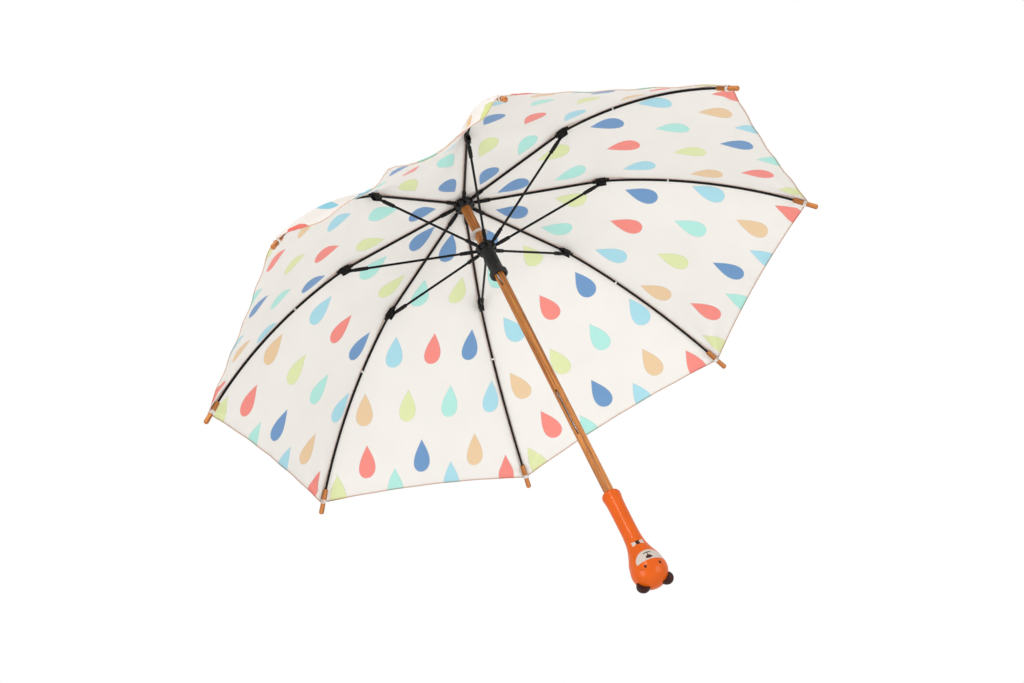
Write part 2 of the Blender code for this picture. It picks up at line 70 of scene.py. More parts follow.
ROD_RADIUS = 0.0014
SLEEVE_RADIUS = 0.0023
SLEEVE_LENGTH = 0.016
RIB_TONGUE = 0.0045
STRETCHER_TONGUE = 0.009
SHAFT_RADIUS = 0.00575
SHAFT_BORE = 0.00605
SHAFT_BOTTOM = -0.045
SHAFT_TOP = CROWN_Z + 0.022
CATCH_AZIMUTH = math.radians(-120)
FLANGE_RADIUS = 0.0120
FLANGE_HALF = 0.0035
SLOT_WIDTH = 0.0027
STOP_Z = CROWN_Z - 0.047
STOP_PIN_TURN = math.radians(-58)
CAP_Z = CROWN_Z + 0.0058
FERRULE_Z = CAP_Z + 0.0025
HEAD_Z = -0.068
HEAD_RADIUS = 0.0202
EAR_ANGLE = math.radians(42)

CLOTH_THICKNESS = 0.0003
HEM_WIDTH = 0.0022
HEM_THICKNESS = 0.0009
CLOTH_START = -0.0025
CLOTH_ROWS = 64
CLOTH_COLUMNS = 26
CREASE_STEPS = 400
SLACK_PANEL = 8


def rib_profile(length):
    """A point of a rib's centre line, out from its crown pin, and its slope below horizontal."""
    if length <= INNER_LENGTH:
        return Vector((length * math.cos(INNER_SLOPE), -length * math.sin(INNER_SLOPE))), INNER_SLOPE
    start, _ = rib_profile(INNER_LENGTH)
    turn = OUTER_END_SLOPE - OUTER_START_SLOPE
    bend = turn * (length - INNER_LENGTH) / OUTER_LENGTH
    chord = 2 * OUTER_LENGTH / turn * math.sin(bend / 2)
    middle = OUTER_START_SLOPE + bend / 2
    return start + Vector((chord * math.cos(middle), -chord * math.sin(middle))), OUTER_START_SLOPE + bend


def in_plane(point):
    """A profile's point as (x, 0, z) in its rib's own plane."""
    return Vector((point.x, 0, point.y))


def rib_azimuth(number):
    return -math.pi / 2 + SECTOR * (number - 1)


def hem_end(share):
    """Where the hem crosses, along the ribs; share runs from 0 at the crease to 1 at a rib."""
    return HEM_AT - HEM_INSET * (1 - share * share)


def smoothstep(value, low, high):
    share = min(max((value - low) / (high - low), 0), 1)
    return share * share * (3 - 2 * share)


# Colours and looks.
def srgb(red, green, blue):
    """Scene-linear colour of a screen colour given in 0 to 255."""
    parts = [value / 255 for value in (red, green, blue)]
    return tuple(p / 12.92 if p <= 0.04045 else ((p + 0.055) / 1.055) ** 2.4 for p in parts)


def scaled(values, factor):
    return tuple(value * factor for value in values)


class Graph:
    """A material's nodes, built from expressions."""

    def __init__(self, name):
        self.material = bpy.data.materials.new(name)
        self.material.use_nodes = True
        self.tree = self.material.node_tree
        self.shader = self.tree.nodes["Principled BSDF"]

    def node(self, kind, settings=None, **inputs):
        made = self.tree.nodes.new(kind)
        for key, value in (settings or {}).items():
            setattr(made, key, value)
        for key, value in inputs.items():
            self.feed(made.inputs[key.replace("_", " ")], value)
        return made

    def feed(self, socket, value):
        if isinstance(value, bpy.types.NodeSocket):
            self.tree.links.new(value, socket)
        elif isinstance(value, tuple) and len(value) == 3 and socket.type == "RGBA":
            socket.default_value = (*value, 1)
        else:
            socket.default_value = value

    def math(self, operation, *values):
        made = self.tree.nodes.new("ShaderNodeMath")
        made.operation = operation
        for socket, value in zip(made.inputs, values):
            self.feed(socket, value)
        return made.outputs[0]

    def minus(self, first, second):
        return self.math("SUBTRACT", first, second)

    def times(self, first, second):
        return self.math("MULTIPLY", first, second)

    def absolute(self, value):
        return self.math("ABSOLUTE", value)

    def ramp(self, value, low, high, to_low=0.0, to_high=1.0):
        """The value's place between low and high, clamped and laid between to_low and to_high."""
        made = self.node("ShaderNodeMapRange")
        for socket, number in zip(made.inputs, (value, low, high, to_low, to_high)):
            self.feed(socket, number)
        return made.outputs[0]

    def mix(self, factor, first, second, blend="MIX"):
        made = self.node("ShaderNodeMix", {"data_type": "RGBA", "blend_type": blend})
        self.feed(made.inputs[0], factor)
        self.feed(made.inputs[6], first)
        self.feed(made.inputs[7], second)
        return made.outputs[2]

    def noise(self, vector, scale, detail=3.0, roughness=0.5):
        made = self.node("ShaderNodeTexNoise", Scale=scale, Detail=detail, Roughness=roughness)
        self.feed(made.inputs["Vector"], vector)
        return made.outputs[0]

    def place(self, scale=(1, 1, 1)):
        """Object coordinates, in metres, stretched by the scale."""
        coordinates = self.node("ShaderNodeTexCoord").outputs["Object"]
        mapping = self.node("ShaderNodeMapping", Scale=scale)
        self.feed(mapping.inputs["Vector"], coordinates)
        return mapping.outputs[0]

    def split(self, vector):
        made = self.node("ShaderNodeSeparateXYZ")
        self.feed(made.inputs[0], vector)
        return made.outputs

    def uv(self, name):
        return self.node("ShaderNodeUVMap", {"uv_map": name}).outputs[0]

    def bump(self, height, distance, strength=1.0):
        made = self.node("ShaderNodeBump", Strength=strength, Distance=distance)
        self.feed(made.inputs["Height"], height)
        return made.outputs[0]

    def set(self, **inputs):
        for key, value in inputs.items():
            self.feed(self.shader.inputs[key.replace("_", " ")], value)
        return self.material


def plastic(name, colour, roughness, speckle=0.1, coat=0.0, specular=0.5):
    """Moulded or coated plastic with a fine grain and some wear."""
    graph = Graph(name)
    grain = graph.noise(graph.place(), 2500, 4)
    wear = graph.noise(graph.place(), 90, 5, 0.6)
    worn = tuple(min(value * 1.7 + 0.012, 1) for value in colour)
    base = graph.mix(graph.ramp(wear, 0.5, 0.8, 0, speckle), colour, worn)
    rough = graph.ramp(graph.math("ADD", grain, wear), 0.6, 1.4, roughness - 0.08, roughness + 0.12)
    return graph.set(Base_Color=base, Roughness=rough, Coat_Weight=coat, Specular_IOR_Level=specular,
                     Normal=graph.bump(grain, 0.00004))


def metal(name, colour, roughness):
    """Drawn spring wire with fine scratches."""
    graph = Graph(name)
    scratches = graph.noise(graph.place((4000, 4000, 300)), 1.0, 3)
    rough = graph.ramp(scratches, 0.3, 0.7, roughness - 0.08, roughness + 0.12)
    base = graph.mix(graph.ramp(scratches, 0.35, 0.75), colour, scaled(colour, 0.7))
    return graph.set(Base_Color=base, Roughness=rough, Metallic=1.0, Normal=graph.bump(scratches, 0.00002))


def wood(name, stretch, pale, mid, dark):
    """Stained, varnished wood; stretch is the scale of the grain along each local axis."""
    graph = Graph(name)
    fibre = graph.noise(graph.place(stretch), 1.0, 6, 0.65)
    pores = graph.noise(graph.place(scaled(stretch, 2.3)), 1.0, 2)
    rings = graph.noise(graph.place(scaled(stretch, 0.3)), 1.0, 2)
    base = graph.mix(graph.ramp(fibre, 0.33, 0.62), dark, mid)
    base = graph.mix(graph.ramp(rings, 0.42, 0.62), base, graph.mix(graph.ramp(fibre, 0.4, 0.6), mid, pale))
    streaks = graph.ramp(pores, 0.60, 0.68)
    base = graph.mix(graph.times(streaks, 0.75), base, scaled(dark, 0.35))
    return graph.set(Base_Color=base, Roughness=graph.ramp(fibre, 0.3, 0.7, 0.5, 0.34), Specular_IOR_Level=0.3,
                     Normal=graph.bump(graph.minus(fibre, streaks), 0.00008, 0.6))


THREAD_SCALE = 900.0


def weave(graph, coordinates):
    """Height of a plain weave with threads 0.35 mm apart, over coordinates in metres."""
    bands = [graph.node("ShaderNodeTexWave", {"bands_direction": way}, Scale=THREAD_SCALE, Distortion=1.5,
                        Detail=1.0, Detail_Scale=0.4) for way in ("X", "Y")]
    for band in bands:
        graph.feed(band.inputs["Vector"], coordinates)
    return graph.times(bands[0].outputs[1], bands[1].outputs[1])


def cloth_shader(graph, base, through, glowing=None):
    """Thin woven polyester that lets some light through, paler than its print."""
    graph.set(Base_Color=base, Roughness=0.82, Sheen_Weight=0.25, Sheen_Roughness=0.4, Specular_IOR_Level=0.25)
    glow = graph.node("ShaderNodeBsdfTranslucent")
    graph.feed(glow.inputs["Color"], glowing or base)
    both = graph.node("ShaderNodeMixShader")
    for socket, value in zip(both.inputs, (through, graph.shader.outputs[0], glow.outputs[0])):
        graph.feed(socket, value)
    graph.feed(graph.tree.nodes["Material Output"].inputs["Surface"], both.outputs[0])
    return graph.material


# The print: rows of raindrops on each panel, their points towards the crown. Each row has its distance
# from the crown, the place across the panel of its first drop, the step to the next, and its colours.
DROP_LENGTH = 0.0405
DROP_WIDTH = 0.0222
DROP_POINT = 1.15
DROP_FULLNESS = 1.37
DROP_EDGE = 0.0009
DROP_EDGE_INK = 0.30
PRINT_ROWS = [(0.051, 0.004, 0.050, ["blue"]),
              (0.115, -0.025, 0.050, ["lime", "mint"]),
              (0.192, -0.055, 0.051, ["blue", "coral", "sky"]),
              (0.262, -0.090, 0.057, ["sky", "mint", "lime", "tan"]),
              (0.326, -0.069, 0.073, ["tan", "blue", "coral"]),
              (0.3575, -0.112, 0.076, ["coral", "sky", "mint", "lime"])]
INSIDE_INKS = {"sky": srgb(174, 226, 238), "coral": srgb(249, 143, 133), "blue": srgb(104, 156, 206),
               "tan": srgb(236, 208, 166), "lime": srgb(230, 238, 182), "mint": srgb(183, 236, 228)}
OUTSIDE_INKS = {"sky": srgb(112, 194, 216), "coral": srgb(224, 84, 62), "blue": srgb(58, 112, 176),
                "tan": srgb(226, 182, 122), "lime": srgb(198, 206, 124), "mint": srgb(138, 222, 210)}


def printed(graph, base, across, along, inks):
    """The base colour with every row of drops over it."""
    for distance, first, step, names in PRINT_ROWS:
        place = graph.math("DIVIDE", graph.minus(across, first), step)
        number = graph.math("MAXIMUM", graph.math("ROUND", place), 0.0)
        number = graph.math("MINIMUM", number, len(names) - 1.0)
        sideways = graph.absolute(graph.times(graph.minus(place, number), step))
        run = graph.ramp(along, distance - DROP_LENGTH / 2, distance + DROP_LENGTH / 2)
        narrow = graph.math("SQRT", graph.minus(1.0, run))
        wide = graph.times(graph.math("POWER", run, DROP_POINT), narrow)
        inside = graph.minus(graph.times(wide, DROP_WIDTH * DROP_FULLNESS), sideways)
        row_inks = graph.node("ShaderNodeValToRGB")
        row_inks.color_ramp.interpolation = "CONSTANT"
        stops = row_inks.color_ramp.elements
        for index, name in enumerate(names):
            stop = stops[0] if index == 0 else stops.new(index / len(names))
            stop.color = (*inks[name], 1)
        stops[len(stops) - 1].color = (*inks[names[-1]], 1)
        middle = graph.math("ADD", number, 0.5)
        graph.feed(row_inks.inputs[0], graph.math("DIVIDE", middle, float(len(names))))
        ink = graph.mix(graph.ramp(inside, 0.0002, DROP_EDGE, DROP_EDGE_INK, 0.0), row_inks.outputs[0],
                        scaled(inks["blue"], 0.45))
        base = graph.mix(graph.ramp(inside, 0.0, 0.0003), base, ink)
    return base


STITCH_PITCH = 0.0022
STITCH_GAP = 0.35
STITCH_FROM_HEM = 0.0019
STITCH_HALF_WIDTH = 0.0002
EDGE_TINT = (0.66, 0.44, 0.34)


def cloth(name, inks, ground, through):
    """A panel's printed cloth, with its stitched hem and the seam's shade beside the rib."""
    graph = Graph(name)
    print_at = graph.uv("print")
    across, along, _ = graph.split(print_at)
    from_hem, from_rib, _ = graph.split(graph.uv("edge"))
    cloudy = graph.noise(print_at, 14.0, 3)
    fleck = graph.noise(print_at, 1400.0, 2)
    base = graph.mix(graph.ramp(cloudy, 0.3, 0.7), ground, scaled(ground, 0.965))
    base = printed(graph, base, across, along, inks)
    base = graph.mix(graph.ramp(fleck, 0.35, 0.75, 0.0, 0.10), base, scaled(ground, 0.75))
    along_stitch = graph.math("FRACT", graph.math("DIVIDE", across, STITCH_PITCH))
    dash = graph.math("GREATER_THAN", along_stitch, STITCH_GAP)
    off_line = graph.absolute(graph.minus(from_hem, STITCH_FROM_HEM))
    stitches = graph.times(dash, graph.math("LESS_THAN", off_line, STITCH_HALF_WIDTH))
    base = graph.mix(graph.times(stitches, 0.4), base, srgb(190, 165, 150))
    base = graph.mix(graph.ramp(from_hem, 0.0011, 0.0015, 1.0, 0.0), base, EDGE_TINT, "MULTIPLY")
    base = graph.mix(graph.ramp(from_rib, 0.0024, 0.0036, 0.3, 0.0), base, srgb(236, 216, 205))
    relief = graph.math("ADD", weave(graph, print_at), graph.times(cloudy, 3.0))
    graph.set(Normal=graph.bump(relief, 0.00005, 0.35))
    return cloth_shader(graph, base, through, graph.mix(0.65, base, scaled(ground, 1.05)))


def plain_cloth(name, colour, pitch=1.0):
    """Undyed woven tape or thread."""
    graph = Graph(name)
    place = graph.place((pitch, pitch, pitch))
    fleck = graph.noise(place, 1600.0, 3)
    soft = graph.noise(place, 120.0, 2)
    base = graph.mix(graph.ramp(fleck, 0.35, 0.7), colour, scaled(colour, 0.82))
    base = graph.mix(graph.ramp(soft, 0.4, 0.7, 0.0, 0.5), base, scaled(colour, 0.88))
    graph.set(Normal=graph.bump(graph.math("ADD", weave(graph, place), fleck), 0.00006, 0.5))
    return cloth_shader(graph, base, 0.1)


def oval(graph, x, z, centre, radii, soft):
    """1 inside an oval on the handle's front, 0 outside."""
    squares = []
    for value, middle, radius in zip((x, z), centre, radii):
        away = graph.math("DIVIDE", graph.minus(value, middle), radius)
        squares.append(graph.math("POWER", graph.absolute(away), 2.0))
    return graph.ramp(graph.math("SQRT", graph.math("ADD", *squares)), 1 - soft, 1 + soft, 1.0, 0.0)


# The painted face, in metres on the handle's front: ovals are (centre, radii), about the face's middle.
FACE_X = 0.0024
MUZZLE = (0, -0.0640), (0.0151, 0.0126)
MUZZLE_EDGE_Z, MUZZLE_EDGE_BEND = -0.0652, 3.0
NOSE = (0, -0.0613), (0.0043, 0.0024)
NOSE_ENDS = (-0.0588, -0.0624, 0.0014, 0.0046)
MOUTH_Z, MOUTH_BEND, MOUTH_HALF_WIDTH, MOUTH_LINE = -0.0552, 55.0, 0.0043, 0.00058
BRIDGE_TOP_Z, BRIDGE_LINE = -0.0600, 0.00045
EYE = (0.0083, -0.0712), (0.0013, 0.0017)
CHEEK_DOTS = 3
CHEEK_X, CHEEK_Z, CHEEK_RADIUS = (-0.0122, 0.00165), (-0.0713, -0.0011), 0.00042
TIE_Z = -0.0373
TIE_WING_ENDS = (0.001, 0.0062, 0.0014, 0.0033)


def painted_face(name):
    """Glossy orange paint with a plain bear's face and a bow tie painted on its front."""
    graph = Graph(name)
    orange, cream, brown, black = srgb(199, 83, 7), srgb(180, 169, 159), srgb(52, 25, 20), srgb(22, 16, 15)
    x, y, z = graph.split(graph.place())
    soft = graph.noise(graph.place(), 60.0, 3)
    base = graph.mix(graph.ramp(soft, 0.3, 0.7), orange, scaled(orange, 0.9))

    def within(value, limit):
        return graph.math("LESS_THAN", value, limit)

    aside = graph.minus(x, FACE_X)
    off = graph.absolute(aside)
    off_squared = graph.times(off, off)
    muzzle_edge = graph.minus(MUZZLE_EDGE_Z, graph.times(off_squared, MUZZLE_EDGE_BEND))
    past_edge = graph.ramp(graph.minus(z, muzzle_edge), -0.0001, 0.0002)
    base = graph.mix(graph.times(oval(graph, aside, z, *MUZZLE, 0.015), past_edge), base, cream)
    mouth_line = graph.minus(MOUTH_Z, graph.times(off_squared, MOUTH_BEND))
    off_line = graph.absolute(graph.minus(z, mouth_line))
    mouth = graph.times(within(off_line, MOUTH_LINE), within(off, MOUTH_HALF_WIDTH))
    between = graph.times(within(z, MOUTH_Z), graph.math("GREATER_THAN", z, BRIDGE_TOP_Z))
    bridge = graph.times(within(off, BRIDGE_LINE), between)
    base = graph.mix(graph.math("MAXIMUM", mouth, bridge), base, black)
    nose_sides = graph.ramp(graph.minus(graph.ramp(z, *NOSE_ENDS), off), 0.0, 0.0002)
    base = graph.mix(graph.times(nose_sides, oval(graph, aside, z, *NOSE, 0.05)), base, brown)
    dark_spots = oval(graph, off, z, *EYE, 0.08)
    for step in range(CHEEK_DOTS):
        centre = (CHEEK_X[0] + CHEEK_X[1] * step, CHEEK_Z[0] + CHEEK_Z[1] * step)
        dot = oval(graph, x, z, centre, (CHEEK_RADIUS, CHEEK_RADIUS), 0.2)
        dark_spots = graph.math("MAXIMUM", dark_spots, dot)
    base = graph.mix(dark_spots, base, black)

    wide = graph.absolute(x)
    tall = graph.absolute(graph.minus(z, TIE_Z))
    wings = graph.ramp(graph.minus(graph.ramp(wide, *TIE_WING_ENDS), tall), 0.0, 0.0002)
    wings = graph.times(wings, graph.ramp(wide, 0.0063, 0.0066, 1.0, 0.0))
    knot = graph.times(graph.ramp(tall, 0.0026, 0.0029, 1.0, 0.0), graph.ramp(wide, 0.0020, 0.0022, 1.0, 0.0))
    base = graph.mix(knot, graph.mix(wings, base, cream), brown)
    base = graph.mix(within(y, 0.0), orange, base)
    ripple = graph.noise(graph.place(), 220.0, 2)
    return graph.set(Base_Color=base, Roughness=graph.ramp(ripple, 0.3, 0.7, 0.34, 0.42), Coat_Weight=0.25,
                     Coat_Roughness=0.1, Specular_IOR_Level=0.08, Normal=graph.bump(ripple, 0.000004, 0.5))


def washer_plastic(name):
    """Milky plastic that lets light through."""
    graph = Graph(name)
    cloud = graph.noise(graph.place(), 300.0, 3)
    base = graph.mix(graph.ramp(cloud, 0.3, 0.7), srgb(214, 206, 198), srgb(190, 180, 170))
    return graph.set(Base_Color=base, Roughness=graph.ramp(cloud, 0.3, 0.7, 0.28, 0.42), Specular_IOR_Level=0.4,
                     Normal=graph.bump(cloud, 0.00003))


# Each look's slot and material.
LOOKS = {
    "inside": ("fabric", cloth("cloth_inside", INSIDE_INKS, srgb(243, 241, 237), 0.34)),
    # Painted shade: the outside's ground is darker than the inside's, though both are the same white cloth, so
    # the lamp-lit outside does not wash out.
    "outside": ("fabric", cloth("cloth_outside", OUTSIDE_INKS, srgb(231, 226, 220), 0.34)),
    "seam": ("fabric", plain_cloth("seam_tape", srgb(244, 222, 210))),
    "thread": ("fabric", plain_cloth("white_thread", srgb(244, 242, 238), 2.0)),
    "strap": ("fabric", plain_cloth("strap_cloth", srgb(243, 241, 236))),
    "black": ("black_plastic", plastic("black_plastic", srgb(22, 21, 21), 0.40, 0.1, 0.0, 0.35)),
    "rod": ("black_plastic", plastic("black_rod", srgb(16, 15, 15), 0.45, 0.12, 0.0, 0.15)),
    "steel": ("steel", metal("spring_steel", srgb(196, 196, 200), 0.26)),
    "washer": ("white_plastic", washer_plastic("milky_plastic")),
    "stud": ("white_plastic", plastic("stud_plastic", srgb(232, 230, 226), 0.3)),
    "shaft": ("wood", wood("shaft_wood", (900, 900, 22),
                           srgb(204, 138, 74), srgb(178, 110, 52), srgb(108, 60, 26))),
    "tip": ("wood", wood("tip_wood", (30, 900, 900),
                         srgb(198, 128, 66), srgb(172, 102, 44), srgb(116, 64, 26))),
    "orange": ("orange_paint", painted_face("orange_paint")),
    "brown": ("brown_paint", plastic("brown_paint", srgb(46, 19, 15), 0.34, 0.1, 0.05, 0.15)),
}


# Shapes.
AS_IS = Matrix.Identity(4)
Z_TO_X = Matrix.Rotation(math.pi / 2, 4, "Y")


def turn_z(angle):
    return Matrix.Rotation(angle, 4, "Z")


def at(x, z):
    return Matrix.Translation((x, 0, z))


def up(height):
    return at(0, height)


def linked(name, data):
    """A new object in the scene."""
    made = bpy.data.objects.new(name, data)
    bpy.context.scene.collection.objects.link(made)
    return made


def mesh_of(made):
    bmesh.ops.recalc_face_normals(made, faces=made.faces)
    mesh = bpy.data.meshes.new("mesh")
    made.to_mesh(mesh)
    made.free()
    return mesh


def turns_in(count):
    return [2 * math.pi * step / count for step in range(count)]


def band(made, first, second):
    """Faces between two rings of vertices, or of one vertex repeated."""
    for i in range(len(first)):
        after = (i + 1) % len(first)
        made.faces.new(list(dict.fromkeys([first[i], first[after], second[after], second[i]])))


def turned(profile, sides, closed=False):
    """A surface of revolution about Z from (radius, height) points."""
    made = bmesh.new()
    rings = []
    for radius, height in profile:
        if radius == 0:
            rings.append([made.verts.new((0, 0, height))] * sides)
            continue
        rings.append([made.verts.new((radius * math.cos(turn), radius * math.sin(turn), height))
                      for turn in turns_in(sides)])
    for first, second in zip(rings, rings[1:] + rings[:1] if closed else rings[1:]):
        band(made, first, second)
    return mesh_of(made)


def ring(major, minor, sides, section):
    """A closed ring about Z with a round section."""
    profile = [(major + minor * math.cos(turn), minor * math.sin(turn)) for turn in turns_in(section)]
    return turned(profile, sides, closed=True)


def smooth_line(points, steps):
    """A curve through the points, with steps runs between each two."""
    line = []
    for i in range(len(points) - 1):
        before, start = Vector(points[max(i - 1, 0)]), Vector(points[i])
        end, after = Vector(points[i + 1]), Vector(points[min(i + 2, len(points) - 1)])
        for step in range(steps):
            t = step / steps
            square, cube = 2 * before - 5 * start + 4 * end - after, 3 * start - before - 3 * end + after
            line.append(0.5 * (2 * start + (end - before) * t + square * t * t + cube * t ** 3))
    return [tuple(point) for point in line] + [tuple(points[-1])]


def swept(points, radius, sides=16):
    """A closed round rod along points in the XZ plane."""
    made = bmesh.new()
    side = Vector((0, 1, 0))
    rings = []
    for i, point in enumerate(points):
        run = (points[min(i + 1, len(points) - 1)] - points[max(i - 1, 0)]).normalized()
        square = run.cross(side)
        rings.append([made.verts.new(point + radius * (math.cos(turn) * square + math.sin(turn) * side))
                      for turn in turns_in(sides)])
    for first, second in zip(rings, rings[1:]):
        band(made, first, second)
    made.faces.new(rings[0])
    made.faces.new(rings[-1])
    return mesh_of(made)


def block(size, centre):
    made = bmesh.new()
    bmesh.ops.create_cube(made, size=1, matrix=Matrix.Translation(centre) @ Matrix.Diagonal((*size, 1)))
    return mesh_of(made)


def cylinder(radius, depth, sides=24):
    made = bmesh.new()
    bmesh.ops.create_cone(made, cap_ends=True, segments=sides, radius1=radius, radius2=radius, depth=depth)
    return mesh_of(made)


def joined(meshes):
    """One mesh from several (mesh, matrix) pairs."""
    made = bmesh.new()
    for mesh, matrix in meshes:
        moved = mesh.copy()
        moved.transform(matrix)
        made.from_mesh(moved)
    return mesh_of(made)


def evaluated(mesh, modify):
    """The mesh after the modifiers that modify(object) adds."""
    shape = linked("shape", mesh)
    helpers = modify(shape) or []
    bpy.context.view_layer.update()
    made = bpy.data.meshes.new_from_object(shape.evaluated_get(bpy.context.evaluated_depsgraph_get()))
    for used in [shape] + helpers:
        bpy.data.objects.remove(used)
    return made


def cut(mesh, cutters):
    """The mesh less each of the cutters."""
    def modify(shape):
        helpers = []
        for cutter in cutters:
            helper = linked("cutter", cutter)
            boolean = shape.modifiers.new("Cut", "BOOLEAN")
            boolean.operation = "DIFFERENCE"
            boolean.solver = "EXACT"
            boolean.object = helper
            helpers.append(helper)
        return helpers
    return evaluated(mesh, modify)


def bevelled(mesh, width, segments=2, angle=35):
    def modify(shape):
        edge = shape.modifiers.new("Bevel", "BEVEL")
        edge.width = width
        edge.segments = segments
        edge.limit_method = "ANGLE"
        edge.angle_limit = math.radians(angle)
    return evaluated(mesh, modify)


def dressed(mesh, looks, sharp):
    """The mesh in these looks, smooth but for edges sharper than an angle in degrees."""
    for look in looks:
        mesh.materials.append(LOOKS[look][1])
    mesh.shade_smooth()
    mesh.set_sharp_from_angle(angle=math.radians(sharp))
    return mesh


def piece(name, mesh, look, body, nodes=(), matrix=AS_IS, sharp=35):
    """A finished piece that rides on a body and stands for its CAD nodes."""
    made = linked(name, dressed(mesh.copy(), [look], sharp))
    made.matrix_world = matrix
    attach(made, body)
    if nodes:
        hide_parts(*nodes)
    return made


def along_x(start, end):
    """Lays something centred along Z between two places on X."""
    return at((start + end) / 2, 0) @ Z_TO_X


def across(x, z):
    """Lays something centred along Z to run along Y through (x, z)."""
    return at(x, z) @ Matrix.Rotation(math.pi / 2, 4, "X")


def arc(middle_radius, middle_height, radius, start, end, steps=4):
    """Points of an arc in (radius, height), between two angles in degrees."""
    turns = [math.radians(start + (end - start) * step / steps) for step in range(steps + 1)]
    return [(middle_radius + radius * math.cos(turn), middle_height + radius * math.sin(turn))
            for turn in turns]


# Ribs, stretchers and tips, drawn along X in their own radial plane.
def sleeve_mesh():
    """A crimped sleeve with rounded ends and two shallow crimp rings, centred along Z."""
    half, radius = SLEEVE_LENGTH / 2, SLEEVE_RADIUS
    profile = [(ROD_RADIUS * 0.8, half), (radius - 0.0006, half), (radius - 0.0001, half - 0.0006)]
    for middle in (half - 0.0030, 0.0030 - half):
        profile += [(radius, middle + 0.0009), (radius - 0.0003, middle + 0.0004),
                    (radius - 0.0003, middle - 0.0004), (radius, middle - 0.0009)]
    profile += [(radius - 0.0001, 0.0006 - half), (radius - 0.0006, -half), (ROD_RADIUS * 0.8, -half)]
    return turned(profile, 24)


TONGUE_WIDTH = 0.0020


def tongue_mesh(length):
    """A flat tongue along X with a round end, its eye and the pin's rounded head in it."""
    flat = block((length, TONGUE_WIDTH, 0.0034), (length / 2, 0, 0))
    end = cylinder(0.0017, TONGUE_WIDTH)
    eye = ring(0.0010, 0.00022, 20, 6)
    faces = [(eye, across(0, 0) @ up(side * TONGUE_WIDTH / 2)) for side in (-1, 1)]
    return joined([(bevelled(flat, 0.0003), AS_IS), (bevelled(end, 0.0003), across(0, 0))] + faces)


BRACKET_HEIGHT = 0.0079


def bracket_mesh():
    """The moulded bracket round a rib's rod, open below for the stretcher, with its rivet."""
    body = block((0.012, 0.0054, BRACKET_HEIGHT), (INNER_LENGTH, 0, -0.00155))
    slot = block((0.024, SLOT_WIDTH, BRACKET_HEIGHT), (INNER_LENGTH, 0, -0.0014 - BRACKET_HEIGHT / 2))
    shoulders = [block((0.004, 0.008, 0.004), (INNER_LENGTH + side * 0.0078, 0, -0.0046)) for side in (-1, 1)]
    shaped = bevelled(cut(body, [slot] + shoulders), 0.0006, 3, 40)
    collar = turned([(0.0010, 0.0100)] + arc(0.0017, 0.0096, 0.0004, 80, 0)
                    + arc(0.0018, -0.0092, 0.0004, 0, -80) + [(0.0010, -0.0098)], 24)
    rivet = turned([(0, 0.0035)] + arc(0.0006, 0.0029, 0.0005, 80, 0)
                   + arc(0.0006, -0.0029, 0.0005, 0, -80) + [(0, -0.0035)], 20)
    return joined([(shaped, AS_IS), (collar, along_x(INNER_LENGTH, INNER_LENGTH)),
                   (rivet, across(INNER_LENGTH, -BRACKET_DROP))])


def rib_mesh():
    """A rib about its crown pin: tongue, sleeve, rod and bracket."""
    tilt = Matrix.Rotation(INNER_SLOPE, 4, "Y")
    reach = RIB_LENGTH - TIP_LENGTH + 0.0125
    bends = 24
    lengths = [RIB_TONGUE + 0.002, INNER_LENGTH * 0.5, INNER_LENGTH]
    lengths += [INNER_LENGTH + (reach - INNER_LENGTH) * step / bends for step in range(1, bends + 1)]
    line = [in_plane(rib_profile(length)[0]) for length in lengths]
    rod = swept(line, ROD_RADIUS)
    return joined([(tongue_mesh(RIB_TONGUE + 0.001), tilt),
                   (sleeve_mesh(), tilt @ along_x(RIB_TONGUE, RIB_TONGUE + SLEEVE_LENGTH)),
                   (bracket_mesh(), tilt), (rod, AS_IS)])


def stretcher_mesh():
    """A stretcher along X, from its bracket pin to its runner wire."""
    far = at(ARM, 0) @ turn_z(math.pi)
    near_sleeve = along_x(STRETCHER_TONGUE, STRETCHER_TONGUE + SLEEVE_LENGTH)
    far_sleeve = along_x(ARM - RIB_TONGUE - SLEEVE_LENGTH, ARM - RIB_TONGUE)
    ends = [Vector((STRETCHER_TONGUE + 0.003, 0, 0)), Vector((ARM - RIB_TONGUE - 0.003, 0, 0))]
    return joined([(tongue_mesh(STRETCHER_TONGUE + 0.001), AS_IS), (tongue_mesh(RIB_TONGUE + 0.001), far),
                   (sleeve_mesh(), near_sleeve), (sleeve_mesh(), far_sleeve),
                   (swept(ends, ROD_RADIUS), AS_IS)])


def tip_mesh():
    """A turned wooden tip along X, from its bored inner end to its rounded outer end."""
    radius, rounding, bore, waist = TIP_RADIUS, 0.0022, ROD_RADIUS + 0.0003, TIP_LENGTH - 0.014
    profile = [(0, TIP_LENGTH)] + arc(radius - rounding, TIP_LENGTH - rounding, rounding, 88, 0, 6)
    profile += smooth_line([(radius, TIP_LENGTH - 0.004), (radius - 0.0002, TIP_LENGTH - 0.0125),
                            (radius - 0.0003, waist), (radius - 0.0002, TIP_LENGTH - 0.0155), (radius, 0.008),
                            (radius - 0.0002, 0.0008)], 3)
    mesh = turned(profile + [(radius - 0.0007, 0), (bore, 0), (bore, 0.008)], 28)
    mesh.transform(Z_TO_X)
    return mesh


def coils(count, spacing, wide, tall, thread):
    """Turns of thread round something that runs along X."""
    made = []
    for index in range(count):
        lean = turn_z(math.radians(7 * (-1) ** index))
        place = at(spacing * (index - (count - 1) / 2), 0) @ lean
        stretch = Matrix.Diagonal((1, wide / tall, 1, 1))
        made.append((ring(tall, thread, 28, 6), place @ stretch @ Z_TO_X))
    return joined(made)


ROD_LIFT, SLEEVE_LIFT, BRACKET_LIFT, CROWN_LIFT, TIP_LIFT = 0.0019, 0.0008, 0.0021, 0.0022, 0.0015


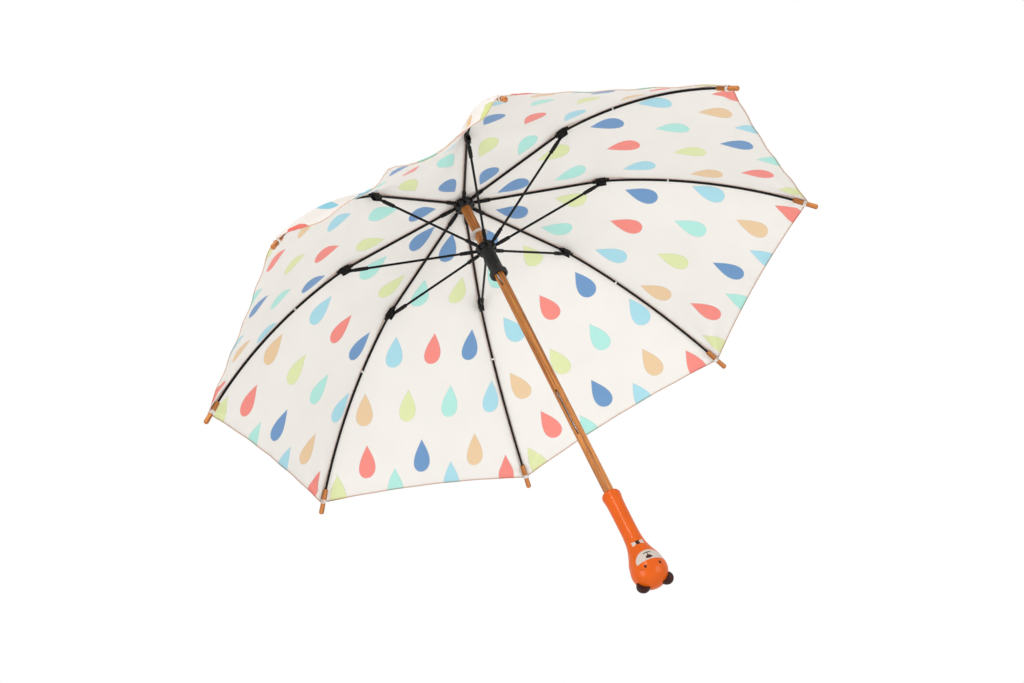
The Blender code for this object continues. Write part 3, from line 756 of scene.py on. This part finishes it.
def cloth_lift(length):
    """Height of the cloth's underside over a rib's centre line, past its sleeve, bracket and tip."""
    sleeve = SLEEVE_LIFT * (1 - smoothstep(length, 0.018, 0.030))
    bracket = BRACKET_LIFT * smoothstep(length, INNER_LENGTH - 0.028, INNER_LENGTH - 0.004)
    bracket *= 1 - smoothstep(length, INNER_LENGTH + 0.014, INNER_LENGTH + 0.038)
    crown = CROWN_LIFT * (1 - smoothstep(length, 0.003, 0.018))
    return ROD_LIFT + sleeve + crown + bracket + TIP_LIFT * smoothstep(length, HEM_AT - 0.045, HEM_AT - 0.020)


SEAM_START = 0.014
SEAM_HALF_WIDTH = 0.0026
SEAM_WOBBLE = 0.00035
SEAM_THICKNESS = 0.00025


def seam_strip_mesh():
    """The seam allowance of two panels, pressed flat under the cloth over a rib."""
    made = bmesh.new()
    rows = []
    steps = 60
    for step in range(steps + 1):
        length = SEAM_START + (HEM_AT - 0.0045 - SEAM_START) * step / steps
        point, slope = rib_profile(length)
        lift = cloth_lift(length) - 0.00035
        half = SEAM_HALF_WIDTH + SEAM_WOBBLE * noise.noise(Vector((length * 160, 3.1, 0)))
        row = []
        for side in (-1, -0.5, 0, 0.5, 1):
            height = lift - 0.00025 * abs(side)
            x, z = point.x + height * math.sin(slope), point.y + height * math.cos(slope)
            row.append(made.verts.new((x, side * half, z)))
        rows.append(row)
    for first, second in zip(rows, rows[1:]):
        for i in range(len(first) - 1):
            made.faces.new((first[i], second[i], second[i + 1], first[i + 1]))

    def modify(shape):
        shell = shape.modifiers.new("Solidify", "SOLIDIFY")
        shell.thickness = SEAM_THICKNESS
        shell.offset = 0
    return evaluated(mesh_of(made), modify)


def make_frame():
    """The eight ribs, with their tips, thread, seams and stretchers."""
    rib, stretcher, tip, seam = rib_mesh(), stretcher_mesh(), tip_mesh(), seam_strip_mesh()
    tie = coils(4, 0.00055, 0.0019, 0.0024, 0.00028)
    loop = coils(6, 0.00062, 0.00335, 0.00350, 0.00032)
    bracket = Vector((ARM * math.cos(ARM_SLOPE), 0, -ARM * math.sin(ARM_SLOPE)))
    tip_start = in_plane(rib_profile(RIB_LENGTH - TIP_LENGTH)[0])
    tip_end = in_plane(rib_profile(RIB_LENGTH)[0])
    tip_slope = math.atan2(tip_start.z - tip_end.z, tip_end.x - tip_start.x)
    for number in range(1, RIBS + 1):
        body = f"rib_{number}"
        hinge = turn_z(rib_azimuth(number)) @ at(PIVOT_RADIUS, CROWN_Z)

        def laid(point, slope):
            """Stands something drawn along X at a point of this rib, at a slope."""
            return hinge @ Matrix.Translation(point) @ Matrix.Rotation(slope, 4, "Y")

        piece(f"frame_rib_{number}", rib, "rod", body, [body], hinge)
        piece(f"seam_{number}", seam, "seam", body, (), hinge)
        for name, length, mesh in (("tie", INNER_LENGTH + 0.078, tie), ("tip_loop", HEM_AT - 0.0022, loop)):
            point, slope = rib_profile(length)
            piece(f"{name}_{number}", mesh, "thread", body, (), laid(in_plane(point), slope))
        knee = laid(bracket, math.pi - ARM_SLOPE)
        follower = f"stretcher_{number}"
        piece(f"frame_{follower}", stretcher, "rod", follower, [follower], knee)
        roll = Matrix.Rotation(math.radians(47 * number), 4, "X")
        piece(f"wood_tip_{number}", tip, "tip", body, [f"rib_tip_{number}"], laid(tip_start, tip_slope) @ roll)


# Crown, runner, stops, catches and ferrule.
def rib_slots():
    """Cutters for the eight slots of a flange and for its wire's groove."""
    slots = [(block((0.0080, SLOT_WIDTH, 0.02), (0.0123, 0, 0)), turn_z(rib_azimuth(number)))
             for number in range(1, RIBS + 1)]
    return [joined(slots), ring(PIVOT_RADIUS, 0.00075, 64, 10)]


FLANGE_ROUNDING = 0.0010


def flange_top(bore):
    return [(bore, FLANGE_HALF - 0.0006), (bore + 0.0006, FLANGE_HALF)] + arc(
        FLANGE_RADIUS - FLANGE_ROUNDING, FLANGE_HALF - FLANGE_ROUNDING, FLANGE_ROUNDING, 90, 0)


def flange_bottom():
    return arc(FLANGE_RADIUS - FLANGE_ROUNDING, FLANGE_ROUNDING - FLANGE_HALF, FLANGE_ROUNDING, 0, -90)


def make_crown():
    """The slotted crown, and the bent wires of the crown and the runner."""
    skirt = [(0.0083, -FLANGE_HALF), (0.0079, -0.0045), (0.0072, -0.0048), (SHAFT_BORE, -0.0048)]
    crown = turned(flange_top(SHAFT_BORE) + flange_bottom() + skirt, 96, closed=True)
    crown = bevelled(cut(crown, rib_slots()), 0.0002)
    piece("slotted_crown", crown, "black", "shaft", ["crown"], up(CROWN_Z))
    twist = coils(5, 0.0009, 0.0007, 0.0007, 0.0003)
    wire = ring(PIVOT_RADIUS, 0.00045, 96, 10)
    end = turn_z(SECTOR / 2) @ at(PIVOT_RADIUS, 0) @ turn_z(math.pi / 2)
    for name, body, height in (("crown_wire", "shaft", CROWN_Z), ("runner_wire", "runner", RUNNER_Z)):
        piece(f"bent_{name}", joined([(wire, AS_IS), (twist, end)]), "steel", body, [name], up(height))


RUNNER_BORE = 0.0064
TUBE_RADIUS = 0.0080
WINDOW_TURNS = (-62, 118)


def make_runner():
    """The runner: flange, ribbed tube with two outlined windows, and foot."""
    foot = 0.006 - RUNNER_DROP
    neck = arc(0.0090, -FLANGE_HALF - 0.0010, 0.0010, 90, 180)
    tube = [(TUBE_RADIUS, -0.012), (TUBE_RADIUS, foot + 0.0012)]
    lip = arc(TUBE_RADIUS + 0.0010, foot + 0.0010, 0.0010, 180, 270, 3)[1:]
    lip += arc(0.0097, foot - 0.0012, 0.0008, 90, 0)
    groove = [(0.0105, -0.0382), (0.0102, -0.0385), (0.0105, -0.0388)]
    end = arc(0.0095, 0.0010 - RUNNER_DROP, 0.0010, 0, -90)
    mouth = [(0.0078, -RUNNER_DROP), (0.0074, 0.0004 - RUNNER_DROP), (0.0070, 0.0020 - RUNNER_DROP),
             (RUNNER_BORE, 0.0022 - RUNNER_DROP)]
    profile = flange_top(RUNNER_BORE) + flange_bottom() + neck + tube + lip + groove + end + mouth
    ridge = cylinder(0.00022, 0.019, 8)
    ridges = [(ridge, turn_z(SECTOR * (number + 0.25)) @ at(0.00795, -0.0215))
              for number in range(RIBS)]
    outline = block((0.0012, 0.0056, 0.0150), (0.0079, 0, -0.0205))
    middle = block((0.0020, 0.0044, 0.0138), (0.0079, 0, -0.0205))
    engraved = [(cut(outline, [middle]), turn_z(math.radians(turn))) for turn in WINDOW_TURNS]
    body = cut(turned(profile, 96, closed=True), rib_slots() + [joined(engraved)])
    mesh = joined([(bevelled(body, 0.00015), AS_IS)] + ridges)
    piece("slotted_runner", mesh, "black", "runner", ["runner"], up(RUNNER_Z))


# Each catch's foot height, the height of its hook over the foot, and its length.
TOP_CATCH = (RUNNER_Z - RUNNER_DROP - 0.0003 - 0.0156, 0.0156, 0.026)
BOTTOM_CATCH = (CLOSED_RUNNER_Z + 0.0041 - 0.053, 0.053, 0.061)
CATCH_FACE, CATCH_REACH, CATCH_WIRE = 0.0044, 0.0074, 0.0006


def make_shaft():
    """The wooden shaft, with a rounded slot for each catch."""
    shaft = turned([(0, SHAFT_TOP), (0.0052, SHAFT_TOP), (SHAFT_RADIUS, SHAFT_TOP - 0.0006),
                    (SHAFT_RADIUS, SHAFT_BOTTOM), (0, SHAFT_BOTTOM)], 64)
    cutters = []
    for foot, _, length in (TOP_CATCH, BOTTOM_CATCH):
        slot = bevelled(block((0.010, 0.0020, length + 0.0024), (0.0035, 0, foot + length / 2)), 0.0007, 3)
        slot.transform(turn_z(CATCH_AZIMUTH))
        cutters.append(slot)
    piece("wooden_shaft", cut(shaft, cutters), "shaft", "shaft", ["shaft"])


def make_catches():
    """Two bent spring wires in the shaft's slots, one under the open runner and one over the closed one."""
    start, face = (0.0018, 0.0006), CATCH_FACE
    foot, step, length = TOP_CATCH
    line = [start, (face, step / 2), (CATCH_REACH, step - 0.0012), (face + 0.001, step), (face, step + 0.001),
            (face, length - 0.0006)]
    make_catch("top_catch", foot, line)
    foot, step, length = BOTTOM_CATCH
    line = [start, (face, step / 4), (face, step - 0.0004), (CATCH_REACH, step + 0.0005),
            (face, length - 0.0010), (face - 0.0010, length - 0.0004)]
    make_catch("bottom_catch", foot, line)


def make_catch(name, foot, line):
    path = [Vector((x, 0, z)) for x, z in smooth_line(line, 6)]
    wire = swept(path, CATCH_WIRE, 12)
    piece(f"spring_{name}", wire, "steel", name, [name], turn_z(CATCH_AZIMUTH) @ up(foot), 60)


def make_stops():
    """The stop pin through the shaft, with hollow heads, and the milky washer on it."""
    head = [(0, 0.0068), (0.0006, 0.0069), (0.0008, 0.0075)] + arc(0.0010, 0.0070, 0.0007, 80, 0)
    head += [(0.0017, 0.0062), (0.0010, 0.0060)]
    pin = turned(head + [(radius, -height) for radius, height in reversed(head)], 24)
    piece("headed_pin", pin, "steel", "shaft", ["stop_pin"], turn_z(STOP_PIN_TURN) @ across(0, STOP_Z))
    washer = turned(arc(0.0102, 0.0008, 0.0003, 90, 0) + arc(0.0102, 0.0002, 0.0003, 0, -90)
                    + [(SHAFT_BORE, -0.0001), (SHAFT_BORE, 0.0011)], 96, closed=True)
    piece("milky_washer", washer, "washer", "shaft", ["stop_washer"], up(STOP_Z + 0.0013))


ROSETTE_RADIUS = 0.0150
ROSETTE_POINTS = 24


def make_cap_and_ferrule():
    """A pinked cloth rosette over the canopy's centre and the turned ferrule above it."""
    made = bmesh.new()
    sides = 96
    rings = []
    for radius, height in ((0.0061, 0.0021), (0.0085, 0.0020), (0.0115, 0.0016), (ROSETTE_RADIUS, 0.0007),
                           (ROSETTE_RADIUS, 0.0001), (0.0115, 0.0008), (0.0085, 0.0012), (0.0061, 0.0013)):
        row = []
        for step, turn in enumerate(turns_in(sides)):
            pinked = abs(step * ROSETTE_POINTS / sides % 1 - 0.5) * 0.0014 if radius == ROSETTE_RADIUS else 0
            ruffle = 0.0002 * math.sin(9 * turn) * radius / ROSETTE_RADIUS
            reach = radius - pinked
            row.append(made.verts.new((reach * math.cos(turn), reach * math.sin(turn), height + ruffle)))
        rings.append(row)
    for first, second in zip(rings, rings[1:] + rings[:1]):
        band(made, first, second)
    cap = piece("cloth_rosette", mesh_of(made), "strap", "shaft", ["top_cap"], up(CAP_Z))
    outline = smooth_line([(0.0037, 0.0430), (0.0045, 0.0415), (0.0052, 0.020), (0.0072, 0.0125),
                           (0.0082, 0.007), (0.0082, 0.002)], 6)
    ferrule = turned([(0, 0.044), (0.0026, 0.044)] + arc(0.0026, 0.0430, 0.0010, 80, 20, 3) + outline
                     + arc(0.0072, 0.0010, 0.0010, 0, -90) + [(0, 0)], 64)
    piece("turned_ferrule", ferrule, "shaft", "shaft", ["ferrule"], up(FERRULE_Z), 50)


# Handle with the bear's head.
def make_handle():
    """The painted grip and head in one turning, and the two ears."""
    outline = [(0.0095, 0.0353), (0.0104, 0.0335), (0.0106, 0.0310), (0.0101, 0.0270), (0.0096, 0.0200),
               (0.0094, 0.0000), (0.0095, -0.0180), (0.0103, -0.0300), (0.0120, -0.0385), (0.0148, -0.0470),
               (0.0178, -0.0550)] + arc(0, HEAD_Z, HEAD_RADIUS, 15, -75, 6)
    line = smooth_line(outline, 6) + arc(0, HEAD_Z, HEAD_RADIUS, -78, -87, 3) + [(0, HEAD_Z - HEAD_RADIUS)]
    rim = [(SHAFT_BORE, 0.0330), (SHAFT_BORE, 0.0345), (0.0068, 0.0356), (0.0080, 0.0360)]
    piece("painted_handle", turned(rim + line, 128), "orange", "shaft", ["handle"], sharp=60)
    hollow = HEAD_RADIUS + 0.0001
    ball = turned([(0, hollow)] + arc(0, 0, hollow, 85, -85, 24) + [(0, -hollow)], 64)
    ball.transform(up(HEAD_Z))
    reach = HEAD_RADIUS - 0.0003
    for name, side in (("ear_left", -1), ("ear_right", 1)):
        disc = turned([(0, 0.0021), (0.0030, 0.0021), (0.0052, 0.0026)] + arc(0.0059, 0.0010, 0.0016, 90, 0)
                      + arc(0.0059, -0.0010, 0.0016, 0, -90) + [(0, -0.0026)], 64)
        disc.transform(across(side * math.sin(EAR_ANGLE) * reach, HEAD_Z - math.cos(EAR_ANGLE) * reach))
        piece(f"round_{name}", cut(disc, [ball]), "brown", "shaft", [name], sharp=50)


# Canopy: each panel in two halves that meet along its crease.
def crease_table():
    """Distance down the crease at even steps of length along the ribs, from the crown to the hem."""
    distances = [0.0]
    before = rib_profile(0.0)[0]
    for step in range(1, CREASE_STEPS + 1):
        point = rib_profile(HEM_AT * step / CREASE_STEPS)[0]
        run = math.hypot((point.x - before.x) * math.cos(SECTOR / 2), point.y - before.y)
        distances.append(distances[-1] + run)
        before = point
    return distances


CREASE = crease_table()


def crease_distance(length):
    """Distance down the crease from the crown to where the cloth crosses at this length along the ribs."""
    place = min(max(length / HEM_AT, 0), 1) * CREASE_STEPS
    low = min(int(place), CREASE_STEPS - 1)
    return CREASE[low] + (CREASE[low + 1] - CREASE[low]) * (place - low)


def slack_relief(x, share, edge, from_hem, off_seam):
    """The slack panel's belly, the spot of its hem that stands out, and its wavy hem."""
    belly = 0.010 + 0.004 * smoothstep(from_hem, 0, 0.08) - 0.014 * smoothstep(from_hem, 0.12, 0.32)
    belly *= 1 + 0.5 * smoothstep(x, 0, 0.05)
    hang = -belly * (1 - share ** 4) * smoothstep(edge, 0.003, 0.028)
    spot = 0.0075 * math.exp(-((x - 0.001) / 0.014) ** 2) * math.exp(-from_hem / 0.014)
    wave = 0.0015 * math.sin(x / 0.0105) * math.exp(-from_hem / 0.03) * off_seam
    return hang + spot + wave


SAG = 0.0024
FLOW = 0.0011
PUCKER, PUCKER_RUN, PUCKER_REACH = 0.00022, 0.0021, 0.004
FOLD, FOLD_REACH = 0.0010, 0.050
FLUTTER, FLUTTER_RUN, FLUTTER_REACH = 0.0007, 0.0085, 0.018


def cloth_relief(panel, x, half_width, share, length):
    """How far the cloth stands out from straight between its ribs, at x across the panel."""
    edge = (1 - share) * max(half_width, 0.001)
    off_seam = min(edge / 0.010, 1)
    from_hem = hem_end(share) - length
    sag = -SAG * (1 - share * share) * math.sin(math.pi * min(max(length / HEM_AT, 0), 1) ** 0.8)
    flow = noise.noise(Vector((x * 16, length * 11, panel * 7.3))) * FLOW * off_seam
    pucker = math.sin(length / PUCKER_RUN + 2.5 * noise.noise(Vector((length * 40, panel * 3.7, x * 9))))
    pucker *= PUCKER * edge / PUCKER_REACH * math.exp(1 - edge / PUCKER_REACH)
    corner = Vector((edge, HEM_AT - length))
    fan = math.atan2(corner.y, corner.x + 0.0001)
    folds = FOLD * math.sin(9 * fan + panel) * math.exp(-corner.length / FOLD_REACH)
    folds *= smoothstep(corner.length, 0.002, 0.020) * off_seam
    flutter = FLUTTER * math.sin(x / FLUTTER_RUN + panel * 1.9) * math.exp(-from_hem / FLUTTER_REACH)
    flutter *= off_seam
    slack = slack_relief(x, share, edge, from_hem, off_seam) if panel == SLACK_PANEL else 0.0
    return sag + flow + pucker + folds + flutter + slack


def cloth_point(panel, side, share, length, raised):
    """A point of the cloth; side is -1 beside the panel's first rib and 1 beside its second."""
    point, slope = rib_profile(length)
    lift = cloth_lift(length)
    base = PIVOT_RADIUS + point.x + lift * math.sin(slope)
    half_width = base * math.sin(SECTOR / 2)
    x = side * share * half_width
    rise = raised + cloth_relief(panel, x, half_width, share, length)
    radius = base * math.cos(SECTOR / 2) + rise * math.sin(slope)
    height = CROWN_Z + point.y + (lift + rise) * math.cos(slope)
    return Matrix.Rotation(rib_azimuth(panel) + SECTOR / 2, 3, "Z") @ Vector((radius, x, height))


# The rows of the cloth: the share of them, and of the way down, that lies above the hem and at it.
ROWS_ABOVE, ROWS_AT_HEM = 0.8, 0.2
REACH_ABOVE, REACH_AT_HEM = 0.93, 0.07


def row_place(row):
    """How far down the cloth a row lies, from 0 at the crown to 1 at the hem."""
    down = row / CLOTH_ROWS
    if down < ROWS_ABOVE:
        return REACH_ABOVE * down / ROWS_ABOVE
    return REACH_ABOVE + REACH_AT_HEM * (down - ROWS_ABOVE) / ROWS_AT_HEM


def lay_cloth(made, rows, columns, place, outward):
    """Cloth with its outer and inner points from place(outer, row, column), closed round its edges."""
    layers = [[[made.verts.new(place(outer, row, column)) for column in range(columns + 1)]
               for row in range(rows + 1)] for outer in (True, False)]
    for index, grid in enumerate(layers):
        for first, second in zip(grid, grid[1:]):
            for i in range(columns):
                corners = (first[i], second[i], second[i + 1], first[i + 1])
                face = made.faces.new(corners if (index == 0) == outward else tuple(reversed(corners)))
                face.material_index = index
    top, bottom = layers
    edges = [(top[-1], bottom[-1]), (top[0], bottom[0])]
    edges += [([row[column] for row in top], [row[column] for row in bottom]) for column in (0, -1)]
    for upper, lower in edges:
        for i in range(len(upper) - 1):
            face = made.faces.new((upper[i], upper[i + 1], lower[i + 1], lower[i]))
            face.material_index = 1


def half_panel(panel, side):
    """The cloth between a rib and the crease: outer and inner faces, closed at hem and rib."""
    made = bmesh.new()
    layers = [made.loops.layers.uv.new(name) for name in ("print", "edge")]
    uvs, weights = [], []

    def place(outer, row, column):
        share = 1 - (1 - column / CLOTH_COLUMNS) ** 1.5
        length = CLOTH_START + (hem_end(share) - CLOTH_START) * row_place(row)
        from_hem = hem_end(share) - length
        doubled = 1 - smoothstep(from_hem, HEM_WIDTH - 0.0008, HEM_WIDTH + 0.0004)
        raised = CLOTH_THICKNESS if outer else -(HEM_THICKNESS - CLOTH_THICKNESS) * doubled
        half_width = (PIVOT_RADIUS + rib_profile(length)[0].x) * math.sin(SECTOR / 2)
        uvs.append(((side * share * half_width, crease_distance(length)), (from_hem, (1 - share) * half_width)))
        weights.append(1 - share)
        return cloth_point(panel, side, share, length, raised)

    lay_cloth(made, CLOTH_ROWS, CLOTH_COLUMNS, place, side > 0)
    made.verts.index_update()
    for face in made.faces:
        for loop in face.loops:
            for layer, uv in zip(layers, uvs[loop.vert.index]):
                loop[layer].uv = uv
    mesh = bpy.data.meshes.new("cloth")
    made.to_mesh(mesh)
    made.free()
    return dressed(mesh, ["outside", "inside"], 60), weights


def follow_cloth(made, panel, side):
    """Bakes the mesh's placement into its vertices."""
    start = cloth_point(panel, side, 1, HEM_AT * 0.6, 0)
    end = cloth_point(panel, side, 0, HEM_AT * 0.6, 0)
    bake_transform(made)


def make_canopy():
    """The eight panels' halves."""
    for panel in range(1, RIBS + 1):
        for side, word in ((-1, "left"), (1, "right")):
            mesh, weights = half_panel(panel, side)
            made = linked(f"cloth_{panel}_{word}", mesh)
            follow_cloth(made, panel, side)
            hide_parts(f"panel_{panel}_{word}")


STRAP_PANEL, STRAP_SIDE = 8, 1
STRAP_SHARES = (0.05, 0.65)
STRAP_FROM_HEM = (0.0065, 0.0175)
STRAP_OUTER, STRAP_INNER = CLOTH_THICKNESS + 0.0009, CLOTH_THICKNESS + 0.0003


def strap_point(share, length, raised):
    return cloth_point(STRAP_PANEL, STRAP_SIDE, share, length, raised)


def make_strap():
    """The closing strap, sewn on the outside of the last panel near its hem."""
    made = bmesh.new()
    columns, rows = 40, 6

    def place(outer, row, column):
        share = STRAP_SHARES[0] + (STRAP_SHARES[1] - STRAP_SHARES[0]) * column / columns
        rounding = 0.3 * max(0, 1 - column / 3) ** 2
        over = 0.5 + (row / rows - 0.5) * (1 - rounding)
        from_hem = STRAP_FROM_HEM[0] + (STRAP_FROM_HEM[1] - STRAP_FROM_HEM[0]) * over
        stitched = 0.00015 * math.exp(-((abs(over - 0.5) - 0.38) / 0.04) ** 2)
        return strap_point(share, hem_end(share) - from_hem, (STRAP_OUTER if outer else STRAP_INNER) - stitched)

    lay_cloth(made, rows, columns, place, False)
    for face in made.faces:
        face.material_index = 0
    strap = linked("cloth_strap", dressed(mesh_of(made), ["strap"], 50))
    follow_cloth(strap, STRAP_PANEL, STRAP_SIDE)
    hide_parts("closing_strap")


def make_press_stud():
    """The press stud on the strap, square to the cloth."""
    share = STRAP_SHARES[0] + 0.10
    length = hem_end(share) - 0.012
    centre = strap_point(share, length, STRAP_OUTER)
    along = (strap_point(share, length + 0.004, STRAP_OUTER) - centre).normalized()
    sideways = (strap_point(share + 0.03, length, STRAP_OUTER) - centre).normalized()
    normal = along.cross(sideways).normalized()
    if normal.z < 0:
        normal.negate()
    turn = Vector((0, 0, 1)).rotation_difference(normal).to_matrix().to_4x4()
    stud = turned([(0, 0.0013), (0.0012, 0.0013), (0.0015, 0.0009), (0.0024, 0.0009), (0.0028, 0.0013)]
                  + arc(0.0034, 0.0007, 0.0006, 90, 0) + [(0.0040, 0.0), (0, 0)], 48)
    snap = linked("press_stud", dressed(stud, ["stud"], 40))
    snap.matrix_world = Matrix.Translation(centre) @ turn
    follow_cloth(snap, STRAP_PANEL, STRAP_SIDE)
    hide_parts("strap_snap")


# Room, light and camera.
FLOOR_Z = -1.6
FLOOR_HALF_SIZE = 45
# Each softbox: its place, what it faces, its size in metres and its power in watts.
SOFTBOXES = {"strip": ((-0.41, -1.73, 0.91), (0, 0, 0), (0.4, 1.0), 13),
             "key": ((-1.8, -1.2, -0.6), (0, 0, 0.3), (1.2, 1.2), 20),
             "fill": ((1.4, -1.2, -0.9), (0, 0, 0.3), (1.2, 1.2), 14)}


def make_room():
    """A pale floor far below, and even white light all round."""
    graph = Graph("pale_floor")
    mottle = graph.noise(graph.place(), 1.5, 4)
    base = graph.mix(graph.ramp(mottle, 0.3, 0.7), (0.86, 0.86, 0.86), (0.83, 0.83, 0.83))
    graph.set(Base_Color=base, Roughness=0.9)
    made = bmesh.new()
    bmesh.ops.create_grid(made, x_segments=1, y_segments=1, size=FLOOR_HALF_SIZE)
    floor = linked("floor", mesh_of(made))
    floor.data.materials.append(graph.material)
    floor.location = (0, 0, FLOOR_Z)

    world = bpy.data.worlds.new("studio")
    world.use_nodes = True
    background = world.node_tree.nodes["Background"]
    background.inputs["Color"].default_value = (1, 1, 1, 1)
    background.inputs["Strength"].default_value = 1.0
    bpy.context.scene.world = world
    bpy.context.scene.view_settings.view_transform = "Standard"


def look_along(made, place, direction, roll=0.0):
    """Puts a light or the camera at its place, facing along the direction."""
    made.location = place
    made.rotation_mode = "QUATERNION"
    made.rotation_quaternion = direction.to_track_quat("-Z", "Y") @ Quaternion((0, 0, 1), roll)


def make_softbox(name, place, target, size, power):
    light = bpy.data.lights.new(name, "AREA")
    light.shape = "RECTANGLE"
    light.size, light.size_y = size
    light.energy = power
    made = linked(name, light)
    look_along(made, place, Vector(target) - Vector(place))


CAMERA_PLACE = Vector((-0.5905, -2.4882, -1.3845))
CAMERA_AZIMUTH = math.radians(77.12)
CAMERA_ELEVATION = math.radians(32.83)
CAMERA_ROLL = math.radians(-26.6)
CAMERA_LENS = 95.8


def make_camera():
    camera = linked("camera", bpy.data.cameras.new("camera"))
    camera.data.lens = CAMERA_LENS
    camera.data.sensor_width = 36
    camera.data.dof.use_dof = False
    camera.data.clip_start, camera.data.clip_end = 0.05, 60
    level = math.cos(CAMERA_ELEVATION)
    forward = Vector((level * math.cos(CAMERA_AZIMUTH), level * math.sin(CAMERA_AZIMUTH),
                      math.sin(CAMERA_ELEVATION)))
    look_along(camera, CAMERA_PLACE, forward, CAMERA_ROLL)
    bpy.context.scene.camera = camera


make_frame()
make_crown()
make_runner()
make_shaft()
make_catches()
make_stops()
make_cap_and_ferrule()
make_handle()
make_canopy()
make_strap()
make_press_stud()
make_room()
for box, settings in SOFTBOXES.items():
    make_softbox(box, *settings)
make_camera()
